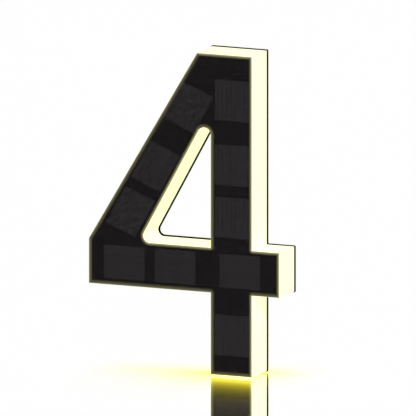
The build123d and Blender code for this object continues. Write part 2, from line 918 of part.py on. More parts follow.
def positive_battery_lead():
    """From the upper contact to the battery plug."""
    start = cradle_top + contact_tab_reach
    end_x = battery_header_x - half_pitch
    points = [
        (stem_middle, solder_depth, start),
        (stem_middle, solder_depth, start + lead_exit),
        (end_x, header_middle_depth, board_low_end - lead_exit),
        (end_x, header_middle_depth, board_low_end),
    ]
    return lead("positive_battery_lead", points, lead_diameter)


def negative_battery_lead():
    """From the lower contact, up between the cell and the stem's wall, to the battery plug."""
    start_z = cradle_bottom - contact_tab_reach + solder_block_size / 2
    start_x = stem_middle + solder_block_size / 2
    wall_x = stem_middle + stem_inner_half - battery_lead_wall_gap
    end_x = battery_header_x + half_pitch
    low_bend = start_z + battery_lead_rise
    top_bend = board_low_end - 2 * lead_exit
    points = [
        (start_x, solder_depth, start_z),
        (start_x + battery_lead_start, solder_depth, start_z),
        (wall_x, solder_depth, low_bend),
        (wall_x, header_middle_depth, top_bend),
        (end_x, header_middle_depth, board_low_end - lead_exit),
        (end_x, header_middle_depth, board_low_end),
    ]
    return lead("negative_battery_lead", points, lead_diameter)


def panel_lead(name, side):
    """From the panel plug up to a terminal on the back of the carrier board."""
    x = panel_header_x + side * half_pitch
    points = [
        (x, header_middle_depth, board_top_end),
        (x, header_middle_depth, board_top_end + lead_exit),
        (x, terminal_depth, terminal_low - lead_exit),
        (x, terminal_depth, terminal_low),
    ]
    return lead(name, points, lead_diameter)


def panel_terminals():
    """Solder terminals on the back of the carrier board, through the shell's floor."""
    near = panel_back - terminal_height
    size = (terminal_width, terminal_length)
    return group([block(x, terminal_middle, *size, near, panel_back) for x in terminal_places])


def led_lead(name, side):
    """From the plug on the back of the control board to one of the stem's strips."""
    start_x = led_header_x + side * half_pitch
    end_x = stem_middle + side * strip_offset
    points = [
        (start_x, rear_header_depth, board_top_end),
        (start_x, rear_header_depth, board_top_end + lead_exit),
        (end_x, rear_header_depth, led_feed_height),
        (end_x, strip_front, led_feed_height),
    ]
    return lead(name, points, led_lead_diameter)


# ---- The whole sign ----
rear_header_near = board_back - header_height
front_header_far = board_front + header_height
outer_ring_face, counter_ring_face = gasket_rings()

pieces = {
    "diffuser_shell": diffuser_shell(),
    "face_cover": face_cover(),
    "face_mask": face_mask(),
    "panel_board": panel_board(),
    "face_seal": face_seal(),
    "back_plate": back_plate(),
    "outer_gasket": gasket(outer_ring_face),
    "counter_gasket": gasket(counter_ring_face),
    "case_screws": case_screws(),
    "mode_button": mode_button(),
    "button_seal": button_seal(),
    "switch_body": switch_body(),
    "switch_plunger": switch_plunger(),
    "control_board": control_board(),
    "board_screws": board_screws(),
    "control_chips": control_chips(),
    "power_inductor": power_inductor(),
    "filter_capacitors": filter_capacitors(),
    "battery_header": header(battery_header_x, board_low_end, -1, board_front, front_header_far),
    "battery_plug": wire_plug(battery_header_x, board_low_end, -1, board_front, front_header_far),
    "panel_header": header(panel_header_x, board_top_end, 1, board_front, front_header_far),
    "panel_plug": wire_plug(panel_header_x, board_top_end, 1, board_front, front_header_far),
    "led_header": header(led_header_x, board_top_end, 1, rear_header_near, board_back),
    "led_plug": wire_plug(led_header_x, board_top_end, 1, rear_header_near, board_back),
    "battery_cell": battery_cell(),
    "battery_sleeve": battery_sleeve(),
    "battery_pad": battery_pad(),
    "battery_cradle": battery_cradle(),
    "battery_contact_upper": battery_contact(cradle_top - cradle_wall, -1),
    "battery_contact_lower": battery_contact(cradle_bottom + cradle_wall, 1),
    "stem_led_strips": stem_strips(),
    "bar_led_strips": bar_strips(),
    "diagonal_led_strip": diagonal_strip(),
    "stem_leds": stem_leds(),
    "bar_leds": bar_leds(),
    "diagonal_leds": diagonal_leds(),
    "led_jumpers": led_jumpers(),
    "panel_terminals": panel_terminals(),
    "positive_battery_lead": positive_battery_lead(),
    "negative_battery_lead": negative_battery_lead(),
    "positive_panel_lead": panel_lead("positive_panel_lead", -1),
    "negative_panel_lead": panel_lead("negative_panel_lead", 1),
    "left_led_lead": led_lead("left_led_lead", -1),
    "right_led_lead": led_lead("right_led_lead", 1),
}
pieces.update(solar_cells())

os.makedirs("parts", exist_ok=True)
for name, piece in pieces.items():
    export_step(piece, f"parts/{name}.step")
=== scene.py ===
import logging
import math
from collections.abc import Sequence
from dataclasses import dataclass
from enum import Enum

import bmesh
import bpy
import numpy as np
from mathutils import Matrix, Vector
from mathutils.geometry import delaunay_2d_cdt


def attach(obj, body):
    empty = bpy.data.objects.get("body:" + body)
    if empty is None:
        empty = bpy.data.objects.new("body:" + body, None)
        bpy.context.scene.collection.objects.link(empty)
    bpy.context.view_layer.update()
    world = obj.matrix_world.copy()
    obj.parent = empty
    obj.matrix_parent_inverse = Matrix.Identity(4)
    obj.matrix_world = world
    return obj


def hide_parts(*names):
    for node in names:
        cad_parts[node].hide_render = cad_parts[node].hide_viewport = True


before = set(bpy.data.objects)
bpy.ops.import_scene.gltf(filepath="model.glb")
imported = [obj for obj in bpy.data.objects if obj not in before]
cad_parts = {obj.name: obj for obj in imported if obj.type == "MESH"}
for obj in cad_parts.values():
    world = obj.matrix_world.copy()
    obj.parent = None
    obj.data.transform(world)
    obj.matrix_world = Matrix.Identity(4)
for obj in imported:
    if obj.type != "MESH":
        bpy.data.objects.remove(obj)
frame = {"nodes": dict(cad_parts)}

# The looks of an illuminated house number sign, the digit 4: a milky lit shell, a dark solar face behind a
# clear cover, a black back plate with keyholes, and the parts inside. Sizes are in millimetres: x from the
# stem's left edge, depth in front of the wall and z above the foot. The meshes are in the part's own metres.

LOG = logging.getLogger("house_number_sign")
MM = 0.001
CUBIC_CM = 1e-6
Colour = tuple[float, float, float]
Profile = list[tuple[float, float]]
WHITE: Colour = (1.0, 1.0, 1.0)
BLACK: Colour = (0.0, 0.0, 0.0)
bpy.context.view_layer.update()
STEM_MIDDLE = 13.75  # x of the part's origin, mm
KEYHOLE_HEIGHT = 176.0  # z of the part's origin, mm
STROKE_SLOPE = 0.5727  # x that the slanted stroke gains for each mm of height
UNLIT = 9.0  # rim distance, mm, of points that no edge light reaches
MERGED = 5e-7  # points nearer than this, m, become one
FILL_MERGED = 1e-6  # the same in mm, while a flat region is filled


# ---- Lines and surfaces ----
def in_metres(x: np.ndarray, depth: np.ndarray, z: np.ndarray) -> np.ndarray:
    """Points of the part's frame: x less the stem's middle, minus the depth, z less the keyhole's height.

    Args:
        x: Distance to the right of the stem's left edge, mm.
        depth: Distance in front of the wall, mm.
        z: Height above the foot, mm.

    Returns:
        An array of points in metres, one more axis than the numbers given.
    """
    x, depth, z = np.broadcast_arrays(x, depth, z)
    return np.stack([x - STEM_MIDDLE, -depth, z - KEYHOLE_HEIGHT], axis=-1) * MM


@dataclass(frozen=True)
class Outline:
    """Closed line of corners (x, z, radius) with the material on its left."""

    corners: tuple[tuple[float, float, float], ...]
    arc_steps: int = 6
    sharpest: float = 0.03

    def loop(self, inset: float) -> np.ndarray:
        """The line moved into the material by an inset.

        Each corner moves along the sum of its two sides' normals, divided by one plus their dot product. An
        arc then rounds it: the radius shrinks by the inset where the material bulges out, and grows by it
        where the line turns back in, and is never less than the sharpest.

        Args:
            inset: Distance into the material, mm.

        Returns:
            Points (x, z), arc_steps + 1 for each corner.
        """
        given = np.array(self.corners)
        places, radii = given[:, :2], given[:, 2]
        before = places - np.roll(places, 1, axis=0)
        before /= np.linalg.norm(before, axis=1, keepdims=True)
        after = np.roll(before, -1, axis=0)
        normal_in = np.stack([-before[:, 1], before[:, 0]], axis=1)
        normal_out = np.stack([-after[:, 1], after[:, 0]], axis=1)
        dot = np.sum(before * after, axis=1)
        cross = before[:, 0] * after[:, 1] - before[:, 1] * after[:, 0]
        share = (normal_in + normal_out) / (1 + dot)[:, None]
        side = np.sign(cross)
        radius = np.maximum(radii - side * inset, self.sharpest)
        centres = places + share * (inset + side * radius)[:, None]
        angle = np.arctan2(cross, dot)[:, None] * np.linspace(0, 1, self.arc_steps + 1)[None, :]
        cosine, sine = np.cos(angle), np.sin(angle)
        turned_x = normal_in[:, :1] * cosine - normal_in[:, 1:] * sine
        turned_z = normal_in[:, :1] * sine + normal_in[:, 1:] * cosine
        reach = (side * radius)[:, None, None]
        arcs = centres[:, None, :] - reach * np.stack([turned_x, turned_z], axis=-1)
        return arcs.reshape(-1, 2)

    def looks_right_or_up(self) -> np.ndarray:
        """1 where the line's outward normal leans to the upper right, 0 to the lower left.

        The lean is the sum of the normal's two parts over the root of 2, and the step between is 0.3 wide.

        Returns:
            One number for each point of a loop.
        """
        outward = self.loop(0.0) - self.loop(0.01)
        outward /= np.linalg.norm(outward, axis=1, keepdims=True)
        lean = outward.sum(axis=1) / math.sqrt(2)
        return np.clip((lean + 0.15) / 0.3, 0.0, 1.0)


def circle(x: float, z: float, radius: float, steps: int) -> np.ndarray:
    """Points (x + radius cos a, z + radius sin a) of a circle, a from 0 to a full turn.

    Args:
        x: Centre, mm.
        z: Centre, mm.
        radius: Radius, mm.
        steps: Number of points.

    Returns:
        Points (x, z).
    """
    turn = np.linspace(0, 2 * np.pi, steps, endpoint=False)
    return np.stack([x + radius * np.cos(turn), z + radius * np.sin(turn)], axis=1)


def soft_corner(inset: float, depth: float, soft: float) -> Profile:
    """Three points that ease a front corner: on its side, near the corner and on its front.

    The middle point lies at 0.3 of the ease from both faces.

    Args:
        inset: The side's inset, mm.
        depth: The front's depth, mm.
        soft: How far the ease runs along each face, mm.

    Returns:
        Points (inset, depth).
    """
    return [(inset, depth - soft), (inset + 0.3 * soft, depth - 0.3 * soft), (inset + soft, depth)]


def inside(points: np.ndarray, loops: Sequence[np.ndarray]) -> np.ndarray:
    """Even-odd test: a point is inside where a line from it to the right crosses the loops an odd number of
    times.

    Args:
        points: Points (x, z) to test.
        loops: Closed lines.

    Returns:
        One truth value for each point.
    """
    starts = np.concatenate(loops)
    ends = np.concatenate([np.roll(loop, -1, axis=0) for loop in loops])
    height = points[:, 1][:, None]
    spans = (starts[None, :, 1] > height) != (ends[None, :, 1] > height)
    rise = np.where(ends[:, 1] == starts[:, 1], 1.0, ends[:, 1] - starts[:, 1])
    crossing = starts[:, 0] + (height - starts[:, 1]) * (ends[:, 0] - starts[:, 0]) / rise
    return np.sum(spans & (points[:, 0][:, None] < crossing), axis=1) % 2 == 1


class Surface:
    """One piece's mesh, gathered from grids and flat regions that share their edges.

    What is added takes the material slot that is set at that time.
    """

    def __init__(self) -> None:
        """Starts with no points and the first slot."""
        self.points: list[np.ndarray] = []
        self.faces: list[np.ndarray] = []
        self.rims: list[np.ndarray] = []
        self.sides: list[np.ndarray] = []
        self.slots: list[np.ndarray] = []
        self.count = 0
        self.slot = 0

    def add(
        self, points: np.ndarray, faces: np.ndarray, rim: np.ndarray | float, side: np.ndarray | float
    ) -> None:
        """Adds points with the faces between them.

        Args:
            points: Points in metres, one row each.
            faces: Rows of point numbers, three or four to a face.
            rim: Distance from the stroke's edge for each point, mm.
            side: 1 for each point by an edge that looks right or up, else 0.
        """
        self.points.append(points)
        self.faces.append(faces + self.count)
        self.rims.append(np.broadcast_to(np.asarray(rim, dtype=float), (len(points),)))
        self.sides.append(np.broadcast_to(np.asarray(side, dtype=float), (len(points),)))
        self.slots.append(np.full(len(faces), self.slot))
        self.count += len(points)

    def grid(
        self,
        points: np.ndarray,
        rim: np.ndarray | float = 0.0,
        side: np.ndarray | float = 0.0,
        closed: bool = True,
    ) -> None:
        """Adds the quads of a grid whose rows run along a line.

        Args:
            points: Grid of points (rows, columns, 3) in metres.
            rim: Distance from the stroke's edge for each row, mm.
            side: 1 for each column by an edge that looks right or up, else 0.
            closed: Joins the last column to the first.
        """
        rows, columns = points.shape[:2]
        numbers = np.arange(rows * columns).reshape(rows, columns)
        if closed:
            numbers = np.concatenate([numbers, numbers[:, :1]], axis=1)
        corners = (numbers[:-1, :-1], numbers[:-1, 1:], numbers[1:, 1:], numbers[1:, :-1])
        faces = np.stack([corner.ravel() for corner in corners], axis=1)
        spread = np.repeat(np.broadcast_to(np.asarray(rim, dtype=float), (rows,)), columns)
        sides = np.tile(np.broadcast_to(np.asarray(side, dtype=float), (columns,)), rows)
        self.add(points.reshape(-1, 3), faces, spread, sides)

    def swept(self, outline: Outline, profile: Profile, rim: bool = False) -> None:
        """Carries a profile along an outline: each point (inset, depth) is the outline's loop at that depth.

        Args:
            outline: The path.
            profile: Points from the back round the outside to the front.
            rim: Keeps each row's inset as its distance from the stroke's edge, and the way the edge looks.
        """
        loops = np.stack([outline.loop(inset) for inset, _ in profile])
        depths = np.array([depth for _, depth in profile])[:, None]
        insets = np.array([inset for inset, _ in profile])
        points = in_metres(loops[..., 0], depths, loops[..., 1])
        if rim:
            self.grid(points, insets, outline.looks_right_or_up())
        else:
            self.grid(points)

    def tube(
        self, loops: Sequence[np.ndarray], depths: Sequence[float], rim: np.ndarray | float = 0.0
    ) -> None:
        """Joins loops with as many points each, every one at its own depth."""
        stack = np.stack(loops)
        self.grid(in_metres(stack[..., 0], np.array(depths)[:, None], stack[..., 1]), rim)

    def turned(self, x: float, z: float, profile: Profile, steps: int) -> None:
        """Turns a profile (radius, depth) round an axis across the wall: (x + r cos a, depth, z + r sin a).

        Args:
            x: Axis, mm.
            z: Axis, mm.
            profile: Points from the back round the outside to the front, with radius 0 where it closes.
            steps: Points round the axis.
        """
        loops = [circle(x, z, radius, steps) for radius, _ in profile]
        self.tube(loops, [depth for _, depth in profile])

    def flat(self, loops: Sequence[np.ndarray], depth: float, front: bool, rim: float = 0.0) -> None:
        """Fills the region between loops at one depth with triangles, by the even-odd rule.

        Args:
            loops: Closed lines (x, z) that don't cross, in any order.
            depth: Distance in front of the wall, mm.
            front: Faces the viewer, else the wall.
            rim: Distance from the stroke's edge for every point, mm.
        """
        joined = np.concatenate(loops)
        starts = np.cumsum([0, *[len(loop) for loop in loops]])
        edges = []
        for start, loop in zip(starts, loops):
            numbers = start + np.arange(len(loop))
            edges.append(np.stack([numbers, np.roll(numbers, -1)], axis=1))
        given = [Vector(pair) for pair in joined.tolist()]
        result = delaunay_2d_cdt(given, np.concatenate(edges).tolist(), [], 0, FILL_MERGED, False)
        places = np.array([tuple(each) for each in result[0]])
        triangles = np.array(result[2])
        corners = places[triangles]
        kept = inside(corners.mean(axis=1), loops)
        triangles, corners = triangles[kept], corners[kept]
        sides = corners[:, 1:] - corners[:, :1]
        area = sides[:, 0, 0] * sides[:, 1, 1] - sides[:, 0, 1] * sides[:, 1, 0]
        wrong = (area < 0) == front
        triangles[wrong] = triangles[wrong][:, ::-1]
        self.add(in_metres(places[:, 0], np.full(len(places), depth), places[:, 1]), triangles, rim, 0.0)

    def build(
        self, name: str, materials: Sequence[bpy.types.Material], smooth_below: float = 38.0
    ) -> bpy.types.Object:
        """Makes the object: doubles merged, faces outwards, soft shading over shallow edges.

        Args:
            name: The object's name.
            materials: One for each slot.
            smooth_below: Edges that turn by less, in degrees, are shaded smooth.

        Returns:
            The object, at the origin.
        """
        mesh = bpy.data.meshes.new(name)
        faces = [row for block in self.faces for row in block.tolist()]
        mesh.from_pydata(np.concatenate(self.points).tolist(), [], faces)
        for key, numbers in (("rim", self.rims), ("lit_side", self.sides)):
            kept = mesh.attributes.new(key, "FLOAT", "POINT")
            kept.data.foreach_set("value", np.concatenate(numbers).astype(np.float32))
        mesh.polygons.foreach_set("material_index", np.concatenate(self.slots).astype(np.int32))
        grown = bmesh.new()
        grown.from_mesh(mesh)
        bmesh.ops.remove_doubles(grown, verts=grown.verts, dist=MERGED)
        bmesh.ops.dissolve_degenerate(grown, edges=grown.edges, dist=MERGED)
        bmesh.ops.recalc_face_normals(grown, faces=grown.faces)
        loose = sum(1 for edge in grown.edges if len(edge.link_faces) != 2)
        volume = grown.calc_volume(signed=True) / CUBIC_CM
        LOG.info("%s: %d faces, %d open edges, %.2f cm3", name, len(grown.faces), loose, volume)
        grown.to_mesh(mesh)
        grown.free()
        mesh.shade_smooth()
        mesh.set_sharp_from_angle(angle=math.radians(smooth_below))
        made = bpy.data.objects.new(name, mesh)
        bpy.context.scene.collection.objects.link(made)
        weighted = made.modifiers.new("even_shading", "WEIGHTED_NORMAL")
        weighted.keep_sharp = True
        weighted.weight = 100
        for material in materials:
            made.data.materials.append(material)
        return made


# ---- Node graphs ----
@dataclass(frozen=True)
class Field:
    """A number that changes over a surface, as the socket of a node that works it out."""

    graph: "NodeGraph"
    socket: bpy.types.NodeSocket

    def _with(self, operation: str, *others: "Field | float") -> "Field":
        """One step of arithmetic on this number."""
        return self.graph.arithmetic(operation, self, *others)

    def __add__(self, other: "Field | float") -> "Field":
        """Sum."""
        return self._with("ADD", other)

    def __sub__(self, other: "Field | float") -> "Field":
        """Difference."""
        return self._with("SUBTRACT", other)

    def __mul__(self, other: "Field | float") -> "Field":
        """Product."""
        return self._with("MULTIPLY", other)

    def __truediv__(self, other: "Field | float") -> "Field":
        """Quotient."""
        return self._with("DIVIDE", other)

    def power(self, exponent: float) -> "Field":
        """This number to a power."""
        return self._with("POWER", exponent)

    def size(self) -> "Field":
        """The number without its sign."""
        return self._with("ABSOLUTE")

    def least(self, other: "Field | float") -> "Field":
        """The lesser of two."""
        return self._with("MINIMUM", other)

    def most(self, other: "Field | float") -> "Field":
        """The greater of two."""
        return self._with("MAXIMUM", other)

    def falling(self) -> "Field":
        """e to minus this number."""
        return (self * -1.0)._with("EXPONENT")

    def sine(self) -> "Field":
        """The number's sine."""
        return self._with("SINE")

    def below(self, limit: "Field | float") -> "Field":
        """1 where the number is under a limit, else 0."""
        return self._with("LESS_THAN", limit)


class NodeGraph:
    """The node tree of a new material or world, with short calls for the nodes that it uses."""

    def __init__(self, name: str, of_world: bool = False) -> None:
        """Starts a tree that holds only its output.

        Args:
            name: The material's or the world's name.
            of_world: Makes a world instead of a material.
        """
        self.owner = (bpy.data.worlds if of_world else bpy.data.materials).new(name)
        self.owner.use_nodes = True
        self.tree = self.owner.node_tree
        self.tree.nodes.clear()
        self.output = self.node("ShaderNodeOutputWorld" if of_world else "ShaderNodeOutputMaterial")

    def node(self, kind: str, **settings: object) -> bpy.types.Node:
        """A new node with its settings.

        Args:
            kind: The node's type.
            **settings: Its own settings by name.

        Returns:
            The node.
        """
        made = self.tree.nodes.new(kind)
        for key, value in settings.items():
            setattr(made, key, value)
        return made

    def feed(self, socket: bpy.types.NodeSocket, value: object) -> None:
        """Links a field or an output to a socket, or sets a plain value on it.

        Args:
            socket: An input.
            value: A field, an output or a plain value.
        """
        if isinstance(value, Field):
            value = value.socket
        if isinstance(value, bpy.types.NodeSocket):
            self.tree.links.new(value, socket)
        elif isinstance(value, tuple) and socket.type == "RGBA":
            socket.default_value = (*value[:3], 1.0)
        else:
            socket.default_value = value

    def fed(self, node: bpy.types.Node, *values: object) -> bpy.types.NodeSocket:
        """Feeds a node's sockets in their order and gives its first output.

        Args:
            node: The node.
            *values: Fields, outputs or plain values.

        Returns:
            The output.
        """
        for socket, value in zip(node.inputs, values):
            self.feed(socket, value)
        return node.outputs[0]

    def arithmetic(self, operation: str, *values: Field | float) -> Field:
        """One math node."""
        return Field(self, self.fed(self.node("ShaderNodeMath", operation=operation), *values))

    def place(self) -> bpy.types.NodeSocket:
        """The point's place in the object's own metres."""
        return self.node("ShaderNodeTexCoord").outputs["Object"]

    def axes(self, vector: bpy.types.NodeSocket | None = None) -> tuple[Field, Field, Field]:
        """The x, y and z of a vector, or of the place.

        Args:
            vector: What to take apart, if not the place.

        Returns:
            The three numbers.
        """
        node = self.node("ShaderNodeSeparateXYZ")
        self.feed(node.inputs[0], vector or self.place())
        return tuple(Field(self, socket) for socket in node.outputs)

    def stretched(self, scale: tuple[float, float, float], turn: float = 0.0) -> bpy.types.NodeSocket:
        """The place turned about Y by an angle and then scaled along each axis.

        Args:
            scale: Factor for x, y and z.
            turn: Angle about Y, radians.

        Returns:
            The vector socket.
        """
        vector = self.place()
        for key, value in (("Rotation", (0.0, turn, 0.0)), ("Scale", scale)):
            node = self.node("ShaderNodeMapping", vector_type="POINT")
            node.inputs[key].default_value = value
            vector = self.fed(node, vector)
        return vector

    def noise(
        self,
        scale: float,
        detail: float,
        vector: bpy.types.NodeSocket | None = None,
        roughness: float = 0.5,
    ) -> Field:
        """Cloudy noise between 0 and 1.

        Args:
            scale: Spots to a metre.
            detail: Number of finer layers.
            vector: What it runs over, if not the place.
            roughness: Share of each finer layer.

        Returns:
            The noise.
        """
        node = self.node("ShaderNodeTexNoise")
        self.feed(node.inputs["Vector"], vector or self.place())
        node.inputs["Scale"].default_value = scale
        node.inputs["Detail"].default_value = detail
        node.inputs["Roughness"].default_value = roughness
        return Field(self, node.outputs["Fac"])

    def cells(self, scale: float) -> Field:
        """Distance to the nearest of scattered points, so many a metre.

        Args:
            scale: Points to a metre.

        Returns:
            The distance.
        """
        node = self.node("ShaderNodeTexVoronoi")
        self.feed(node.inputs["Vector"], self.place())
        node.inputs["Scale"].default_value = scale
        return Field(self, node.outputs["Distance"])

    def attribute(self, name: str) -> Field:
        """A number kept on the mesh's points."""
        return Field(self, self.node("ShaderNodeAttribute", attribute_name=name).outputs["Fac"])

    def ray(self, name: str) -> Field:
        """What the ray's path says about it, by the output's name."""
        return Field(self, self.node("ShaderNodeLightPath").outputs[name])

    def mixed(self, share: Field, first: object, second: object) -> bpy.types.NodeSocket:
        """Colour between two by a share: a Mix node's colours go in at 6 and 7 and come out at 2.

        Args:
            share: 0 for the first colour, 1 for the second.
            first: A colour or its socket.
            second: A colour or its socket.

        Returns:
            The colour socket.
        """
        node = self.node("ShaderNodeMix", data_type="RGBA")
        self.feed(node.inputs["Factor"], share)
        self.feed(node.inputs[6], first)
        self.feed(node.inputs[7], second)
        return node.outputs[2]

    def ranged(self, value: Field, low: float, high: float, bottom: float = 0.0, top: float = 1.0) -> Field:
        """The number carried from one range to another, held at its ends.

        Args:
            value: The number.
            low: Where its range starts.
            high: Where its range ends.
            bottom: The result at the start.
            top: The result at the end.

        Returns:
            The result.
        """
        node = self.node("ShaderNodeMapRange")
        for key, number in (("From Min", low), ("From Max", high), ("To Min", bottom), ("To Max", top)):
            node.inputs[key].default_value = number
        self.feed(node.inputs["Value"], value)
        return Field(self, node.outputs["Result"])

    def polished(self, noise: Field, low: float, high: float) -> Field:
        """Roughness from low to high while the noise goes from 0.3 to 0.7, where nearly all of it lies."""
        return self.ranged(noise, 0.3, 0.7, low, high)

    def bump(self, height: Field, depth: float) -> bpy.types.NodeSocket:
        """Normal of a surface raised by a height of 0 to 1 times a depth in mm.

        Args:
            height: The height, 0 to 1.
            depth: What a height of 1 stands for, mm.

        Returns:
            The normal socket.
        """
        node = self.node("ShaderNodeBump")
        node.inputs["Distance"].default_value = depth * MM
        self.feed(node.inputs["Height"], height)
        return node.outputs["Normal"]

    def shader(self, kind: str, **sockets: object) -> bpy.types.NodeSocket:
        """A shader node, its sockets fed by name with _ for a blank.

        Args:
            kind: The node's type.
            **sockets: Fields, outputs or plain values.

        Returns:
            The shader socket.
        """
        node = self.node(kind)
        for key, value in sockets.items():
            self.feed(node.inputs[key.replace("_", " ")], value)
        return node.outputs[0]

    def blended(self, share: Field | float, first: object, second: object) -> bpy.types.NodeSocket:
        """Shader between two by a share."""
        return self.fed(self.node("ShaderNodeMixShader"), share, first, second)

    def ended(self, shader: bpy.types.NodeSocket) -> bpy.types.Material | bpy.types.World:
        """Ends the tree in a shader."""
        self.feed(self.output.inputs["Surface"], shader)
        return self.owner

    def coated(self, **sockets: object) -> bpy.types.Material:
        """Ends the tree in a Principled shader with the sockets given."""
        return self.ended(self.shader("ShaderNodeBsdfPrincipled", **sockets))


# ---- Finishes ----
def toned(colour: Colour, factor: float) -> Colour:
    """The colour times a factor, held at 1."""
    return tuple(min(1.0, part * factor) for part in colour)


class Direction(Enum):
    """Way that the fine lines of a solar cell run: its angle about Y from upright, in radians."""

    UPRIGHT = 0.0
    LEVEL = math.pi / 2
    SLANTED = math.atan(STROKE_SLOPE)


@dataclass(frozen=True)
class MouldedPlastic:
    """Moulded plastic with cloudy colour and a fine grain."""

    name: str
    colour: Colour
    roughness: float = 0.45
    variation: float = 0.15
    grain_size: float = 0.35
    grain_depth: float = 0.01
    specular: float = 0.35

    def material(self) -> bpy.types.Material:
        """Colour from slow noise, roughness from a faster one and a bump from the grain.

        Returns:
            The material.
        """
        graph = NodeGraph(self.name)
        cloud = graph.noise(scale=90.0, detail=4.0)
        low = toned(self.colour, 1 - self.variation)
        high = toned(self.colour, 1 + self.variation)
        grain = graph.noise(scale=1000.0 / self.grain_size, detail=2.0)
        wear = graph.noise(scale=260.0, detail=3.0)
        return graph.coated(
            Base_Color=graph.mixed(cloud, low, high),
            Roughness=graph.polished(wear, self.roughness - 0.06, self.roughness + 0.06),
            Specular_IOR_Level=self.specular,
            Normal=graph.bump(grain, self.grain_depth),
        )


@dataclass(frozen=True)
class LitShell:
    """Milky plastic lit from inside, with a faint cloudiness."""

    name: str = "milky_shell"
    body: Colour = (0.66, 0.66, 0.63)
    glow: Colour = (0.80, 0.80, 0.415)
    glow_variation: float = 0.03
    roughness: float = 0.32

    def material(self) -> bpy.types.Material:
        """Glow and body colour each between two close tones by slow noise, over a fine moulded grain.

        Returns:
            The material.
        """
        graph = NodeGraph(self.name)
        cloud = graph.noise(scale=55.0, detail=2.0)
        dim = toned(self.glow, 1 - self.glow_variation)
        bright = toned(self.glow, 1 + self.glow_variation)
        pale = toned(self.body, 0.98)
        wear = graph.noise(scale=400.0, detail=2.0)
        return graph.coated(
            Base_Color=graph.mixed(cloud, pale, self.body),
            Emission_Color=graph.mixed(cloud, dim, bright),
            Emission_Strength=1.0,
            Roughness=graph.polished(wear, self.roughness - 0.04, self.roughness + 0.04),
            Specular_IOR_Level=0.001,
            Normal=graph.bump(graph.noise(scale=2600.0, detail=2.0), 0.004),
        )


@dataclass(frozen=True)
class EdgeLight:
    """Painted light: the shell's glow painted along the face's edges, full by those that look right or up and
    faint by others.
    """

    colour: Colour = (1.0, 0.94, 0.44)
    strength: float = 0.56
    reach: float = 2.3
    fall: float = 2.3
    faint: float = 0.18
    faint_reach: float = 2.7
    faint_fall: float = 1.2
    unevenness: float = 0.06

    def share(self, graph: NodeGraph) -> Field:
        """(1 - distance / reach) to the power of the fall, from the rim distance kept on the mesh.

        The full and the faint glow each have their own reach and fall, the side kept on the mesh mixes them,
        and noise makes the whole uneven.

        Args:
            graph: The finish's node graph.

        Returns:
            The glow's share, 0 to 1.
        """
        rim, side = graph.attribute("rim"), graph.attribute("lit_side")
        full = graph.ranged(rim, 0.0, self.reach, 1.0, 0.0).power(self.fall)
        faint = graph.ranged(rim, 0.0, self.faint_reach, 1.0, 0.0).power(self.faint_fall) * self.faint
        uneven = graph.noise(scale=160.0, detail=3.0) * (2 * self.unevenness) + (1 - self.unevenness)
        return (full * side + faint * (side * -1.0 + 1.0)) * uneven


@dataclass(frozen=True)
class ClearCover:
    """Clear, glossy cover: nearly see-through, with a faint haze and a painted glow along its border."""

    name: str = "clear_cover"
    alpha: float = 0.04
    painted_glow_gain: float = 25.0
    light: EdgeLight = EdgeLight()

    def material(self) -> bpy.types.Material:
        """Its alpha rises to the border by the painted edge light's share, which also is its painted glow
        there.

        Returns:
            The material.
        """
        graph = NodeGraph(self.name)
        haze = graph.noise(scale=140.0, detail=3.0)
        share = self.light.share(graph)
        return graph.coated(
            Base_Color=graph.mixed(haze, (0.010, 0.009, 0.010), (0.016, 0.014, 0.015)),
            Roughness=graph.polished(haze, 0.03, 0.07),
            # Painted glow: alpha and emission rise towards the border by the edge light's share.
            Alpha=(share + self.alpha).least(1.0),
            Emission_Color=graph.mixed((share * self.painted_glow_gain).least(1.0), BLACK, self.light.colour),
            Emission_Strength=self.light.strength,
            Specular_IOR_Level=0.3,
        )


@dataclass(frozen=True)
class PrintedMask:
    """Black printed sheet, with a painted glow where its rim distance is small."""

    name: str = "black_mask"
    colour: Colour = (0.0100, 0.0084, 0.0091)
    light: EdgeLight = EdgeLight()

    def material(self) -> bpy.types.Material:
        """The painted edge glow on cloudy black with an even tooth.

        Returns:
            The material.
        """
        graph = NodeGraph(self.name)
        cloud = graph.noise(scale=160.0, detail=3.0)
        # Painted glow near the edge, by the edge light's share, over the real black print.
        bright = graph.mixed(self.light.share(graph), BLACK, self.light.colour)
        dark = toned(self.colour, 0.93)
        return graph.coated(
            Base_Color=graph.mixed(cloud, dark, self.colour),
            Emission_Color=bright,
            Emission_Strength=self.light.strength,
            Roughness=graph.polished(cloud, 0.5, 0.6),
            Specular_IOR_Level=0.01,
            Normal=graph.bump(graph.noise(scale=3200.0, detail=1.0), 0.003),
        )


@dataclass(frozen=True)
class SolarWafer:
    """Dark wafer with close silver lines one way and faint ripples of tone."""

    name: str
    direction: Direction
    colour: Colour = (0.0225, 0.0203, 0.0213)
    line: Colour = (0.0520, 0.0485, 0.0500)
    pitch: float = 2.9
    boldness: float = 0.26
    streaks: float = 0.7
    spread: float = 0.13

    def material(self) -> bpy.types.Material:
        """Lines where the sine of the place across them is near its top, over streaks of stretched noise.

        Returns:
            The material.
        """
        graph = NodeGraph(self.name)
        turn = -self.direction.value
        across, _, _ = graph.axes(graph.stretched((1.0, 1.0, 1.0), turn))
        phase = across * (2 * math.pi / (self.pitch * MM))
        line = (phase.sine() * 0.5 + 0.5).power(4.0)
        streak = graph.noise(scale=1.0, detail=2.0, vector=graph.stretched((900.0, 60.0, 22.0), turn))
        mottle = graph.noise(scale=1.0, detail=1.0, vector=graph.stretched((820.0, 820.0, 520.0), turn))
        bands = graph.ranged(streak * self.streaks + mottle * (1 - self.streaks), 0.36, 0.64)
        dark = toned(self.colour, 1 - self.spread)
        tone = graph.mixed(bands, dark, toned(self.colour, 1 + self.spread))
        return graph.coated(
            Base_Color=graph.mixed(line * self.boldness, tone, self.line),
            Roughness=graph.ranged(bands, 0.0, 1.0, 0.46, 0.54),
            Specular_IOR_Level=0.02,
            Normal=graph.bump(line, 0.006),
        )


